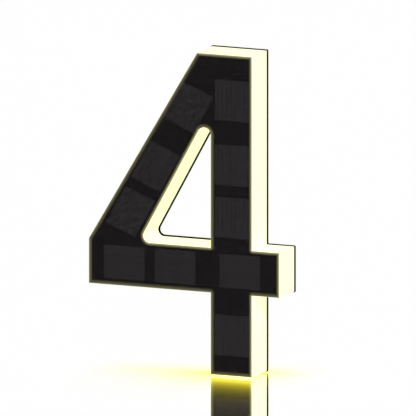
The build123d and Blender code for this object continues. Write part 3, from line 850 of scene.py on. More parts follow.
@dataclass(frozen=True)
class Rubber:
    """Soft matt rubber with a dusty bloom."""

    name: str
    colour: Colour
    bloom: float = 1.6
    roughness: float = 0.75

    def material(self) -> bpy.types.Material:
        """Colour towards a paler bloom by noise, with a fine uneven skin.

        Returns:
            The material.
        """
        graph = NodeGraph(self.name)
        dust = graph.noise(scale=240.0, detail=5.0, roughness=0.7)
        pale = toned(self.colour, self.bloom)
        return graph.coated(
            Base_Color=graph.mixed(graph.ranged(dust, 0.4, 0.75), self.colour, pale),
            Roughness=graph.polished(dust, self.roughness - 0.08, self.roughness + 0.08),
            Specular_IOR_Level=0.2,
            Normal=graph.bump(graph.noise(scale=1800.0, detail=3.0), 0.012),
        )


@dataclass(frozen=True)
class Metal:
    """Bare or plated metal with drawn or turned marks."""

    name: str
    colour: Colour
    roughness: float = 0.32
    marks: tuple[float, float, float] = (2400.0, 2400.0, 120.0)
    metallic: float = 1.0

    def material(self) -> bpy.types.Material:
        """Fine marks as noise stretched one way, over slow patches of tarnish.

        Returns:
            The material.
        """
        graph = NodeGraph(self.name)
        marks = graph.noise(scale=1.0, detail=3.0, vector=graph.stretched(self.marks))
        tarnish = graph.noise(scale=180.0, detail=4.0)
        dull = toned(self.colour, 0.8)
        return graph.coated(
            Base_Color=graph.mixed(tarnish, dull, self.colour),
            Metallic=self.metallic,
            Roughness=graph.ranged(marks, 0.25, 0.75, self.roughness - 0.1, self.roughness + 0.12),
            Normal=graph.bump(marks, 0.004),
        )


@dataclass(frozen=True)
class BoardLaminate:
    """Circuit board: lacquer over a glass weave, with lighter copper tracks under it."""

    name: str
    colour: Colour
    track: Colour
    track_pitch: float = 2.54
    weave_rate: float = 9000.0

    def material(self) -> bpy.types.Material:
        """Tracks where a sine across the board, bent by noise, is near its top, over a woven bump.

        Returns:
            The material.
        """
        graph = NodeGraph(self.name)
        x, _, z = graph.axes()
        turn = 2 * math.pi / (self.track_pitch * MM)
        bend = graph.noise(scale=60.0, detail=0.0) * 7.0
        tracks = graph.ranged((x * turn + bend).sine(), 0.62, 0.72)
        weave = (x * self.weave_rate).sine() * (z * self.weave_rate).sine() * 0.5 + 0.5
        return graph.coated(
            Base_Color=graph.mixed(tracks, self.colour, self.track),
            Roughness=graph.polished(graph.noise(scale=300.0, detail=2.0), 0.28, 0.4),
            Specular_IOR_Level=0.5,
            Normal=graph.bump(tracks * 0.7 + weave * 0.3, 0.02),
        )


@dataclass(frozen=True)
class SleeveFilm:
    """Shrink film round the cell, with one plain band and fine wrinkles."""

    name: str = "sleeve_film"
    colour: Colour = (0.02, 0.16, 0.09)
    band: Colour = (0.60, 0.60, 0.56)
    band_low: float = -0.1385
    band_high: float = -0.1345

    def material(self) -> bpy.types.Material:
        """The band where z lies between two heights, and wrinkles from noise stretched round the cell.

        Returns:
            The material.
        """
        graph = NodeGraph(self.name)
        _, _, z = graph.axes()
        within = z.below(self.band_high) - z.below(self.band_low)
        wrinkle = graph.noise(scale=1.0, detail=2.0, vector=graph.stretched((90.0, 90.0, 900.0)))
        return graph.coated(
            Base_Color=graph.mixed(within, self.colour, self.band),
            Roughness=graph.polished(wrinkle, 0.2, 0.34),
            Normal=graph.bump(wrinkle, 0.02),
        )


@dataclass(frozen=True)
class Foam:
    """Open foam with small pores."""

    name: str
    colour: Colour

    def material(self) -> bpy.types.Material:
        """Dark pores at the middle of scattered cells: painted shade in the pores.

        Returns:
            The material.
        """
        graph = NodeGraph(self.name)
        pores = graph.ranged(graph.cells(1600.0), 0.1, 0.5)
        # Painted shade: the pores darker than the foam.
        dark = toned(self.colour, 0.35)
        return graph.coated(
            Base_Color=graph.mixed(pores, dark, self.colour),
            Roughness=graph.ranged(pores, 0.0, 1.0, 0.95, 0.85),
            Specular_IOR_Level=0.1,
            Normal=graph.bump(pores, 0.12),
        )


@dataclass(frozen=True)
class LampPackage:
    """White lamp package with a lit yellow patch in its middle."""

    name: str = "led_package"
    body: Colour = (0.75, 0.75, 0.72)
    phosphor: Colour = (0.95, 0.72, 0.14)
    patch_depth: float = 3.2

    def material(self) -> bpy.types.Material:
        """Phosphor tone towards the front, with fine grit, and a glow of the same tone.

        Returns:
            The material.
        """
        graph = NodeGraph(self.name)
        _, y, _ = graph.axes()
        face = y.below(-self.patch_depth * MM)
        grit = graph.noise(scale=2200.0, detail=2.0)
        tone = graph.mixed(grit, toned(self.phosphor, 0.85), self.phosphor)
        return graph.coated(
            Base_Color=graph.mixed(face, self.body, tone),
            Emission_Color=graph.mixed(face, BLACK, tone),
            Emission_Strength=0.8,
            Roughness=graph.polished(grit, 0.3, 0.45),
            Normal=graph.bump(grit, 0.006),
        )


@dataclass(frozen=True)
class MirrorFloor:
    """Pale polished floor that mirrors the sign, with a painted pool of warm light and a painted shadow round
    its foot.

    Lengths are in mm: x to the right of the stem's middle, and distances in front of the wall.
    """

    name: str = "polished_floor"
    pool: Colour = (1.0, 0.84, 0.03)
    painted_shade_tint: Colour = (1.0, 0.995, 0.02)
    matt: Colour = (0.9, 0.9, 0.9)
    matt_share: float = 0.012
    plain_light: float = 0.44
    deepest: float = 0.56
    most_painted_shade: float = 0.97
    left_end: float = -97.5
    left_full: float = -17.0
    right_full: float = 17.0
    right_end: float = 49.0
    stem_half: float = 13.7
    crest_left: float = 20.5
    crest_right: float = 2.5
    right_share: float = 0.6
    before_fall: float = 30.0
    before_power: float = 1.3
    behind_fall: float = 20.4
    crest_share: float = 0.34
    crest_offset: float = 5.0
    crest_depth: float = 6.0
    crest_width: float = 8.0
    face_depth: float = 24.7
    near_light: float = 1.8
    near_fall: float = 13.0
    far_light: float = 0.325
    far_fall: float = 30.0
    most_light: float = 0.9
    shear: float = 0.427
    side_fall: float = 5.0
    back_haste: float = 3.0

    def spread(self, graph: NodeGraph) -> Field:
        """How far the floor's white is tinted by painted shade: a painted shadow filled with painted yellow
        light.

        Along the crossbar's length it falls in a line from the stem to the bar's ends. Behind its crest it
        falls as e to minus (distance / behind fall) squared, and in front of it as e to minus (distance /
        before fall) to the before power. The crest runs back from the stem's left side to its right, where
        it is weaker. Close to the stem it has a sharper peak of its own.

        Args:
            graph: The floor's node graph.

        Returns:
            The tint's share, 0 to 1.
        """
        x, y, _ = graph.axes()
        half = self.stem_half * MM
        left = graph.ranged(x, self.left_end * MM, self.left_full * MM)
        right = graph.ranged(x, self.right_full * MM, self.right_end * MM, 1.0, 0.0)
        ahead = y * -1.0 - graph.ranged(x, -half, half, self.crest_left * MM, self.crest_right * MM)
        before = (ahead.most(0.0) / (self.before_fall * MM)).power(self.before_power)
        behind = (ahead.least(0.0) / (self.behind_fall * MM)).power(2.0)
        wide = left * right * (before + behind).falling() * self.deepest
        beside = (x.size() - STEM_MIDDLE * MM).most(0.0) / (self.crest_width * MM)
        off_crest = ((ahead + self.crest_offset * MM) / (self.crest_depth * MM)).power(2.0)
        sharp = (off_crest + beside).falling() * self.crest_share
        weaker = graph.ranged(x, -half, half, 1.0, self.right_share)
        return ((wide + sharp) * weaker).least(self.most_painted_shade)

    def foot_glow(self, graph: NodeGraph) -> Field:
        """Painted light that stands for the glow the lit foot throws forward and to the right.

        At d in front of the face it is near light e^(-d / near fall) + far light e^(-d / far fall). Beside
        the foot's own width, which moves to the right by the shear for each mm forward, it falls as e to
        minus the distance over the side fall. Behind the wall's plane each mm counts as three.

        Args:
            graph: The floor's node graph.

        Returns:
            The light's strength.
        """
        x, y, _ = graph.axes()
        forward = (y * -1.0 - self.face_depth * MM).most(0.0)
        away = forward.most(y * self.back_haste)
        near = (away / (self.near_fall * MM)).falling() * self.near_light
        far = (away / (self.far_fall * MM)).falling() * self.far_light
        beside = ((x - forward * self.shear).size() - STEM_MIDDLE * MM).most(0.0)
        return (near + far).least(self.most_light) * (beside / (self.side_fall * MM)).falling()

    def material(self) -> bpy.types.Material:
        """Mirror tinted with painted shade, a matt share that keeps the shadow, and the foot's painted glow;
        plain to matt rays.

        Returns:
            The material.
        """
        graph = NodeGraph(self.name)
        # Painted shade: the mirror's white tinted yellow round the foot, a painted shadow filled with painted
        # light.
        mirror = graph.shader(
            "ShaderNodeBsdfGlossy",
            Color=graph.mixed(self.spread(graph), WHITE, self.painted_shade_tint),
            Roughness=graph.polished(graph.noise(scale=30.0, detail=2.0), 0.008, 0.02),
        )
        matt = graph.shader("ShaderNodeBsdfDiffuse", Color=self.matt)
        # Painted light: the foot's glow, painted on the floor and seen only by camera rays.
        seen_glow = self.foot_glow(graph) * graph.ray("Is Camera Ray")
        glow = graph.shader("ShaderNodeEmission", Color=self.pool, Strength=seen_glow)
        lit = graph.fed(graph.node("ShaderNodeAddShader"), graph.blended(self.matt_share, mirror, matt), glow)
        plain = graph.shader("ShaderNodeEmission", Strength=self.plain_light)
        return graph.ended(graph.blended(graph.ray("Is Diffuse Ray"), lit, plain))


# ---- The digit and its shared sizes ----
@dataclass(frozen=True)
class Digit:
    """The digit's outline, its counter and the places that the sub-assemblies share."""

    height: float = 200.0
    stem_width: float = 27.5
    bar_bottom: float = 51.0
    bar_height: float = 28.1
    bar_left_reach: float = 81.2
    bar_right_reach: float = 18.25
    top_left_reach: float = 9.0
    counter_width: float = 47.7
    counter_rise: float = 87.0
    counter_apex_radius: float = 4.3
    counter_corner_radius: float = 4.2
    edge_radius: float = 0.25
    wall: float = 2.4
    lip: float = 0.4
    plate: float = 1.5
    overhang: float = 0.5
    counter_overhang: float = 0.8
    floor_back: float = 20.3
    ledge: float = 21.5
    cell_back: float = 23.0
    cover_back: float = 23.5
    front: float = 24.7
    screw_inset: float = 4.3
    screw_corners: tuple[int, ...] = (0, 2, 3, 5, 6, 7, 8, 10)
    face_inset: float = 0.5
    lower_keyhole: float = 15.0
    left_keyhole: float = 14.0
    left_keyhole_drop: float = 4.0
    button_height: float = 126.1
    guide_length: float = 3.0

    @property
    def bar_top(self) -> float:
        """Height of the crossbar's top."""
        return self.bar_bottom + self.bar_height

    @property
    def bar_middle(self) -> float:
        """Height of the crossbar's middle."""
        return self.bar_bottom + self.bar_height / 2

    @property
    def middle(self) -> float:
        """The stem's middle."""
        return self.stem_width / 2

    def outer(self) -> Outline:
        """The outer line, counter-clockwise from the foot's right corner.

        Returns:
            The line, with its corners' radii.
        """
        right = self.stem_width + self.bar_right_reach
        places = (
            (self.stem_width, 0.0), (self.stem_width, self.bar_bottom), (right, self.bar_bottom),
            (right, self.bar_top), (self.stem_width, self.bar_top), (self.stem_width, self.height),
            (-self.top_left_reach, self.height), (-self.bar_left_reach, self.bar_top),
            (-self.bar_left_reach, self.bar_bottom), (0.0, self.bar_bottom), (0.0, 0.0),
        )
        return Outline(tuple((x, z, self.edge_radius) for x, z in places))

    def counter(self) -> Outline:
        """The counter's line, clockwise, so that the stroke is on its left.

        Returns:
            The line, with its corners' radii.
        """
        return Outline((
            (-self.counter_width, self.bar_top, self.counter_corner_radius),
            (0.0, self.bar_top + self.counter_rise, self.counter_apex_radius),
            (0.0, self.bar_top, self.edge_radius),
        ), arc_steps=14)

    def screw_places(self) -> np.ndarray:
        """Middle of each case screw: the corners that bulge out, moved in."""
        square = Outline(tuple((x, z, 0.0) for x, z, _ in self.outer().corners), arc_steps=1, sharpest=0.0)
        return square.loop(self.screw_inset)[::2][list(self.screw_corners)]

    def keyhole_places(self) -> tuple[tuple[float, float], ...]:
        """Middle of each keyhole's round entry."""
        left = (self.left_keyhole - self.bar_left_reach, self.bar_middle - self.left_keyhole_drop)
        return ((self.middle, KEYHOLE_HEIGHT), (self.middle, self.lower_keyhole), left)


DIGIT = Digit()


# ---- Sub-assemblies ----
class ShellSlot(Enum):
    """Material slot of each part of the shell."""

    MILKY = 0
    PRINTED_WITH_PAINTED_GLOW = 1
    COUNTER = 2


class PlateSlot(Enum):
    """Material slot of each part of the back plate."""

    TEXTURED = 0
    SHADED_EDGE = 1


@dataclass
class CaseShell:
    """Milky tray: walls round the digit and its counter, the floor under the face and the screw bosses."""

    digit: Digit = DIGIT
    soft_edge: float = 0.12
    boss_radius: float = 2.9
    boss_length: float = 10.0
    hole_radius: float = 1.26
    hole_end: float = 9.3
    boss_steps: int = 24
    lip_ease: float = 0.08
    finish: LitShell = LitShell()
    # A darker, yellower copy of the lit shell for the counter's walls: painted shade.
    shaded_counter_finish: LitShell = LitShell("milky_counter_painted_shade", (0.60, 0.60, 0.57), (0.78, 0.78, 0.350))

    def wall_profile(self) -> Profile:
        """Section of the wall from the floor's back, round the outside, to the lip's front edge.

        Returns:
            Points (inset, depth).
        """
        size, soft = self.digit, self.soft_edge
        back, front = size.plate, size.front
        inner = [(size.wall, size.floor_back), (size.wall, back)]
        rear = [(soft, back), (0.3 * soft, back + 0.3 * soft), (0.0, back + soft)]
        support = [(0.0, back + 2 * soft), (0.0, front - 2 * soft)]
        return [*inner, *rear, *support, *soft_corner(0.0, front, soft)]

    def lip_profile(self) -> Profile:
        """Section of the lip's printed front and inner side, down to the floor's front.

        Returns:
            Points (inset, depth).
        """
        size, front, ease = self.digit, self.digit.front, self.lip_ease
        eased = [(self.soft_edge, front), (size.lip - ease, front), (size.lip, front - ease)]
        return [*eased, (size.lip, size.ledge)]

    def build(self) -> bpy.types.Object:
        """The shell's one closed surface and the bosses, in the lit finish, with a painted glow on the
        printed lip and a shaded copy on the counter's walls.

        Returns:
            The shell.
        """
        size = self.digit
        surface = Surface()
        lines = (size.outer(), size.counter())
        for line, slot in zip(lines, (ShellSlot.MILKY, ShellSlot.COUNTER)):
            surface.slot = slot.value
            surface.swept(line, self.wall_profile(), rim=True)
            # The printed lip also carries the painted edge glow.
            surface.slot = ShellSlot.PRINTED_WITH_PAINTED_GLOW.value
            surface.swept(line, self.lip_profile(), rim=True)
        surface.slot = ShellSlot.MILKY.value
        surface.flat([line.loop(size.wall) for line in lines], size.floor_back, front=False)
        surface.flat([line.loop(size.lip) for line in lines], size.ledge, front=True)
        end = size.plate + self.boss_length
        for x, z in size.screw_places():
            surface.turned(x, z, [
                (0.0, self.hole_end), (self.hole_radius, self.hole_end), (self.hole_radius, size.plate),
                (self.boss_radius, size.plate), (self.boss_radius, end), (0.0, end),
            ], self.boss_steps)
        finishes = (self.finish, PrintedMask("printed_lip_painted_glow"), self.shaded_counter_finish)
        made = surface.build("lit_shell", [finish.material() for finish in finishes])
        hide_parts("diffuser_shell")
        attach(made, "sign")
        return made


@dataclass(frozen=True)
class Cell:
    """One solar cell: its corners counter-clockwise and the way its lines run."""

    node: str
    corners: tuple[tuple[float, float], ...]
    direction: Direction
    corner_radius: float = 0.05

    def outline(self) -> Outline:
        """Its line, with corners cut nearly square."""
        corners = tuple((x, z, self.corner_radius) for x, z in self.corners)
        return Outline(corners, arc_steps=2, sharpest=0.01)


@dataclass
class SolarFace:
    """The dark face: cells in a printed mask, under a clear cover.

    A stem cell's place is the height of its middle, a crossbar cell's is the x of its middle, and a skew
    cell's is the height of its middle above the crossbar's top.
    """

    digit: Digit = DIGIT
    rim_steps: tuple[float, ...] = (0.78, 0.98, 1.2, 1.45, 1.72, 2.0, 2.35, 2.7, 3.05)
    stem_places: tuple[float, ...] = (24.8, 98.28, 130.98, 171.4)
    stem_margin: float = 2.42
    stem_half_length: float = 12.675
    bar_places: tuple[float, ...] = (-58.075, -24.275, 18.925)
    bar_margin: float = 3.6
    bar_half_length: float = 13.525
    skew_places: tuple[float, ...] = (18.15, 47.67, 86.0)
    skew_start: float = -64.45
    skew_half_side: float = 13.5
    skew_half_end: float = 10.6
    skew_end_slope: float = 22.4
    cell_clearance: float = 0.08
    cell_ease: float = 0.04
    air_gap: float = 0.02
    cover_edge: float = 0.12

    def cells(self) -> list[Cell]:
        """The four stem cells, the three of the crossbar and the three skew ones of the slanted stroke.

        Returns:
            The ten cells.
        """
        size = self.digit
        stem_half = np.array([size.stem_width / 2 - self.stem_margin, self.stem_half_length])
        bar_half = np.array([self.bar_half_length, size.bar_height / 2 - self.bar_margin])
        stem = [(np.array([size.middle, z]), stem_half) for z in self.stem_places]
        bar = [(np.array([x, size.bar_middle]), bar_half) for x in self.bar_places]
        found = []
        for group, places, way in (("stem", stem, Direction.UPRIGHT), ("bar", bar, Direction.LEVEL)):
            for number, (middle, half) in enumerate(places, start=1):
                sides = (half * (1, 0), half * (0, 1))
                found.append(self.cell(f"solar_cell_{group}_{number}", middle, sides, way))
        for number, above in enumerate(self.skew_places, start=1):
            middle = np.array([self.skew_start + STROKE_SLOPE * above, size.bar_top + above])
            node = f"solar_cell_diagonal_{number}"
            found.append(self.cell(node, middle, self.skew_sides(), Direction.SLANTED))
        return found

    def skew_sides(self) -> tuple[np.ndarray, np.ndarray]:
        """Half of a skew cell's end, sloping down to the right, and of its side, leaning with the stroke.

        Returns:
            The two as arrows, mm.
        """
        lean, slope = Direction.SLANTED.value, math.radians(self.skew_end_slope)
        end = np.array([math.cos(slope), -math.sin(slope)]) * self.skew_half_end
        return end, np.array([math.sin(lean), math.cos(lean)]) * self.skew_half_side

    def cell(
        self, node: str, middle: np.ndarray, sides: tuple[np.ndarray, np.ndarray], way: Direction
    ) -> Cell:
        """A cell whose corners are its middle, less or plus each of its half sides.

        Args:
            node: The CAD node's name.
            middle: Its middle (x, z), mm.
            sides: Half of its lower side and half of its upright side, as arrows.
            way: The way that its lines run.

        Returns:
            The cell.
        """
        end, side = sides
        signs = ((-1, -1), (1, -1), (1, 1), (-1, 1))
        corners = [middle + end * across + side * along for across, along in signs]
        return Cell(node, tuple((float(x), float(z)) for x, z in corners), way)

    def mask(self) -> bpy.types.Object:
        """The printed sheet, with a window for each cell.

        Returns:
            The mask.
        """
        size = self.digit
        surface = Surface()
        lines = (size.outer(), size.counter())
        back, front = size.cell_back, size.cover_back
        profile = [(size.face_inset, back), (size.face_inset, front)]
        for line in lines:
            surface.swept(line, profile)
        windows = [cell.outline().loop(-self.cell_clearance) for cell in self.cells()]
        outer = [line.loop(size.face_inset) for line in lines]
        surface.flat(outer + windows, front, front=True)
        surface.flat(outer + windows, back, front=False)
        for window in windows:
            surface.tube([window, window], [front, back])
        surface.rims = [np.full(surface.count, UNLIT)]
        made = surface.build("printed_mask", [PrintedMask().material()])
        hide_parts("face_mask")
        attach(made, "sign")
        return made

    def cover(self) -> bpy.types.Object:
        """The clear sheet: eased front edges, and rings that keep their distance from the stroke's edge.

        Returns:
            The cover.
        """
        size, soft = self.digit, self.cover_edge
        surface = Surface()
        lines = (size.outer(), size.counter())
        back, front = size.cover_back + self.air_gap, size.front
        inset = size.face_inset
        rings = [(step, front) for step in self.rim_steps]
        profile = [(inset, front - 3 * soft), *soft_corner(inset, front, soft), *rings]
        for line in lines:
            surface.swept(line, profile, rim=True)
        last = self.rim_steps[-1]
        surface.flat([line.loop(last) for line in lines], front, front=True, rim=last)
        for line in lines:
            edge = line.loop(inset)
            surface.tube([edge, edge], [back, front - 3 * soft], rim=np.array([UNLIT, inset]))
        surface.flat([line.loop(inset) for line in lines], back, front=False, rim=UNLIT)
        made = surface.build("clear_face_cover", [ClearCover().material()])
        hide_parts("face_cover")
        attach(made, "sign")
        return made

    def wafers(self) -> list[bpy.types.Object]:
        """The cells, each a thin wafer with an eased edge.

        Returns:
            One object for each cell.
        """
        size = self.digit
        finishes = (
            SolarWafer("cell_wafer_upright", Direction.UPRIGHT),
            SolarWafer("cell_wafer_level", Direction.LEVEL, pitch=2.1, boldness=0.16),
            SolarWafer("cell_wafer_slanted", Direction.SLANTED, boldness=0.05, streaks=0.1, spread=0.26),
        )
        skins = {finish.direction: finish.material() for finish in finishes}
        back, front, ease = size.cell_back, size.cover_back, self.cell_ease
        made = []
        for cell in self.cells():
            surface = Surface()
            line = cell.outline()
            surface.swept(line, [(0.0, back), (0.0, front - ease), (ease, front)])
            surface.flat([line.loop(0.0)], back, front=False)
            surface.flat([line.loop(ease)], front, front=True)
            piece = surface.build(cell.node.replace("solar_cell", "wafer"), [skins[cell.direction]])
            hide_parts(cell.node)
            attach(piece, "sign")
            made.append(piece)
        return made

    def build(self) -> list[bpy.types.Object]:
        """Mask, cover and cells."""
        return [self.mask(), self.cover(), *self.wafers()]


@dataclass
class BackCover:
    """Black back plate: keyholes and their pockets, countersinks, the button's guide, standoffs and pegs."""

    digit: Digit = DIGIT
    soft_edge: float = 0.18
    entry_radius: float = 4.25
    entry_ease: float = 0.3
    entry_round: float = 0.08
    entry_points: int = 33
    slot_radius: float = 2.15
    slot_points: int = 17
    rise: float = 8.0
    room: float = 1.0
    head_depth: float = 5.0
    pocket_wall: float = 1.2
    pocket_corner: float = 0.6
    pocket_ease: float = 0.4
    front_ease: float = 0.1
    rim_width: float = 0.2
    groove_start: float = 0.7
    groove_end: float = 1.7
    groove_depth: float = 0.8
    countersink_radius: float = 2.42
    countersink_ease: float = 0.06
    screw_hole_radius: float = 1.26
    screw_steps: int = 32
    button_hole_radius: float = 4.08
    button_mouth_radius: float = 4.4
    mouth_ease: float = 0.1
    mouth_depth: float = 0.32
    ring_depth: float = 1.5
    ring_half_width: float = 0.55
    ring_groove_radius: float = 5.17
    guide_radius: float = 6.2
    guide_steps: int = 64
    standoff_heights: tuple[float, ...] = (109.5, 142.7)
    standoff_radius: float = 2.4
    standoff_length: float = 9.8
    standoff_hole_radius: float = 0.8
    standoff_hole_depth: float = 4.4
    peg_heights: tuple[float, ...] = (40.0, 80.8)
    peg_radius: float = 1.4
    peg_length: float = 1.9
    peg_ease: float = 0.3
    peg_steps: int = 24
    finishes: tuple[MouldedPlastic, ...] = (
        MouldedPlastic("black_case", (0.011, 0.0105, 0.010), 0.5, 0.2, 0.45, 0.02, 0.3),
        # A darker copy without sheen for the plate's edge: painted shade.
        MouldedPlastic("black_edge_painted_shade", (0.002, 0.002, 0.002), 0.7, 0.2, 0.45, 0.01, 0.0),
    )

    def keyhole(self, x: float, z: float) -> np.ndarray:
        """The keyhole's line, clockwise: the round entry from side to side of the slot, then the slot's top.

        Args:
            x: Middle of the entry, mm.
            z: Middle of the entry, mm.

        Returns:
            Points (x, z).
        """
        open_angle = math.asin(self.slot_radius / self.entry_radius)
        entry = np.linspace(np.pi / 2 - open_angle, -1.5 * np.pi + open_angle, self.entry_points)
        top = np.linspace(np.pi, 0.0, self.slot_points)
        low = np.stack([np.cos(entry), np.sin(entry)], axis=1) * self.entry_radius + (x, z)
        high = np.stack([np.cos(top), np.sin(top)], axis=1) * self.slot_radius + (x, z + self.rise)
        return np.concatenate([low, high])

    def pocket(self, x: float, z: float, wall: float) -> Outline:
        """The head's room behind a keyhole, or the pocket's outside, counter-clockwise.

        Args:
            x: Middle of the keyhole's entry, mm.
            z: Middle of the keyhole's entry, mm.
            wall: The pocket's wall, or 0 for its inside, mm.

        Returns:
            The line.
        """
        half = self.entry_radius + self.room + wall
        low, high = z - half, z + self.rise + self.entry_radius + wall
        places = ((x - half, low), (x + half, low), (x + half, high), (x - half, high))
        return Outline(tuple((*place, self.pocket_corner + wall) for place in places))

    def eased(self, loop: np.ndarray, amount: float) -> np.ndarray:
        """The keyhole's line moved outwards by an amount along its own normals.

        Args:
            loop: Points (x, z).
            amount: How far it moves, mm.

        Returns:
            Points (x, z).
        """
        along = np.roll(loop, -1, axis=0) - np.roll(loop, 1, axis=0)
        along /= np.linalg.norm(along, axis=1, keepdims=True)
        return loop + np.stack([-along[:, 1], along[:, 0]], axis=1) * amount

    def edge_profile(self, out: float) -> Profile:
        """Section of the plate's edge from its back to its rim, at an inset, negative where it stands out.

        The back edge is rounded by two points, each 0.45 of the ease from one face and 0.14 from the other.

        Args:
            out: The edge's inset, mm.

        Returns:
            Points (inset, depth).
        """
        soft, front = self.soft_edge, self.digit.plate
        back = [(out + soft, 0.0), (out + 0.45 * soft, 0.14 * soft), (out + 0.14 * soft, 0.45 * soft)]
        return [*back, (out, soft), *soft_corner(out, front, self.front_ease), (self.rim_width, front)]

    def groove_profile(self) -> Profile:
        """Section of the gasket's groove.

        Returns:
            Points (inset, depth).
        """
        start, end, front = self.groove_start, self.groove_end, self.digit.plate
        floor = front - self.groove_depth
        return [(start, front), (start, floor), (end, floor), (end, front)]

    def guide_profile(self) -> Profile:
        """Section of the button's bore with its ring's groove, and of the guide round it.

        Returns:
            Points (radius, depth).
        """
        front, bore, half = self.digit.plate, self.button_hole_radius, self.ring_half_width
        end, ring = front + self.digit.guide_length, front + self.ring_depth
        eased = (bore + self.mouth_ease, self.mouth_ease)
        mouth = [(self.button_mouth_radius, 0.0), eased, (bore, self.mouth_depth), (bore, ring - half)]
        groove = [(self.ring_groove_radius, ring - half), (self.ring_groove_radius, ring + half)]
        guide = [(bore, ring + half), (bore, end), (self.guide_radius, end), (self.guide_radius, front)]
        return [*mouth, *groove, *guide]

    def standoff_profile(self) -> Profile:
        """Section of a standoff and its screw's hole.

        Returns:
            Points (radius, depth).
        """
        front, hole = self.digit.plate, self.standoff_hole_radius
        top = front + self.standoff_length
        floor = top - self.standoff_hole_depth
        outside = [(self.standoff_radius, front), (self.standoff_radius, top)]
        return [*outside, (hole, top), (hole, floor), (0.0, floor)]

    def peg_profile(self) -> Profile:
        """Section of a peg that the battery's cradle sits on.

        Returns:
            Points (radius, depth).
        """
        front, radius, ease = self.digit.plate, self.peg_radius, self.peg_ease
        top = front + self.peg_length
        return [(radius, front), (radius, top - ease), (radius - ease, top), (0.0, top)]

    def add_keyhole(self, surface: Surface, x: float, z: float) -> tuple[np.ndarray, np.ndarray]:
        """Adds a keyhole with the closed pocket before it.

        Args:
            surface: The plate's surface.
            x: Middle of the entry, mm.
            z: Middle of the entry, mm.

        Returns:
            The lines that it leaves open in the plate's back and in its front.
        """
        front = self.digit.plate
        hole = self.keyhole(x, z)
        wide, close = self.eased(hole, self.entry_ease), self.eased(hole, self.entry_round)
        surface.tube([wide, close, hole, hole], [0.0, self.entry_round, self.entry_ease, front])
        inner, outer = self.pocket(x, z, 0.0), self.pocket(x, z, self.pocket_wall)
        deep, ease = front + self.head_depth, self.pocket_ease
        surface.flat([hole, inner.loop(0.0)], front, front=True)
        surface.swept(inner, [(0.0, front), (0.0, deep)])
        surface.flat([inner.loop(0.0)], deep, front=False)
        lid = deep + self.pocket_wall
        surface.swept(outer, [(0.0, front), *soft_corner(0.0, lid, ease)])
        surface.flat([outer.loop(ease)], lid, front=True)
        return wide, outer.loop(0.0)

    def build(self) -> bpy.types.Object:
        """The plate's closed surface, in textured black with a darker edge without sheen, which is painted
        shade.

        Returns:
            The back plate.
        """
        size, front = self.digit, self.digit.plate
        surface = Surface()
        front_loops, back_loops = [], []
        for line, out in ((size.outer(), -size.overhang), (size.counter(), -size.counter_overhang)):
            surface.slot = PlateSlot.SHADED_EDGE.value
            surface.swept(line, self.edge_profile(out))
            surface.slot = PlateSlot.TEXTURED.value
            surface.swept(line, self.groove_profile())
            insets = (self.rim_width, self.groove_start, self.groove_end)
            front_loops += [line.loop(inset) for inset in insets]
            back_loops.append(line.loop(out + self.soft_edge))
        for x, z in size.keyhole_places():
            behind, before = self.add_keyhole(surface, x, z)
            back_loops.append(behind)
            front_loops.append(before)
        head, hole, ease = self.countersink_radius, self.screw_hole_radius, self.countersink_ease
        countersink = [(head, 0.0), (head - ease, ease), (hole, head - hole), (hole, front)]
        for x, z in size.screw_places():
            surface.turned(x, z, countersink, self.screw_steps)
            back_loops.append(circle(x, z, head, self.screw_steps))
            front_loops.append(circle(x, z, hole, self.screw_steps))
        x, z = size.middle, size.button_height
        surface.turned(x, z, self.guide_profile(), self.guide_steps)
        back_loops.append(circle(x, z, self.button_mouth_radius, self.guide_steps))
        front_loops.append(circle(x, z, self.guide_radius, self.guide_steps))
        for heights, profile, steps in (
            (self.standoff_heights, self.standoff_profile(), self.screw_steps),
            (self.peg_heights, self.peg_profile(), self.peg_steps),
        ):
            for height in heights:
                surface.turned(x, height, profile, steps)
                front_loops.append(circle(x, height, profile[0][0], steps))
        surface.flat(back_loops, 0.0, front=False)
        surface.flat(front_loops, front, front=True)
        made = surface.build("back_cover", [finish.material() for finish in self.finishes])
        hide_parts("back_plate")
        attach(made, "sign")
        return made


@dataclass
class ModeSwitch:
    """Soft button on the back, dished for a fingertip, with a raised dot."""

    digit: Digit = DIGIT
    radius: float = 4.0
    edge_radius: float = 0.5
    recess: float = 0.4
    dish: float = 0.35
    dish_radius: float = 3.0
    dish_lift: float = 0.02
    dot: tuple[tuple[float, float], ...] = ((0.0, 0.52), (0.35, 0.54), (0.55, 0.62))
    dot_foot: float = 0.75
    dish_steps: int = 8
    edge_steps: int = 6
    steps: int = 64
    flange_radius: float = 5.4
    flange_thickness: float = 1.2
    finish: Rubber = Rubber("button_rubber", (0.022, 0.022, 0.023))

    def cap_profile(self) -> Profile:
        """Section of the button from the middle out: the dot, the dish, a round edge and the flange.

        The dish's depth goes with 1 - (r / dish radius)^2.

        Returns:
            Points (radius, depth).
        """
        base, edge = self.recess + self.dish_lift, self.edge_radius
        reach = np.linspace(self.dot_foot, self.dish_radius, self.dish_steps)
        bowl = [(r, base + self.dish * (1 - (r / self.dish_radius) ** 2)) for r in reach]
        turn = np.linspace(0, np.pi / 2, self.edge_steps)
        flat = self.radius - edge
        rim = [(flat + edge * math.sin(a), self.recess + edge - edge * math.cos(a)) for a in turn]
        top = self.digit.plate + self.digit.guide_length
        end = top + self.flange_thickness
        flange = [(self.radius, top), (self.flange_radius, top), (self.flange_radius, end), (0.0, end)]
        return [*self.dot, *bowl, *rim, *flange]

    def build(self) -> bpy.types.Object:
        """The button, riding on its own body.

        Returns:
            The button.
        """
        surface = Surface()
        surface.turned(self.digit.middle, self.digit.button_height, self.cap_profile(), self.steps)
        made = surface.build("mode_button_cap", [self.finish.material()], smooth_below=50.0)
        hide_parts("mode_button")
        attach(made, "button")
        return made


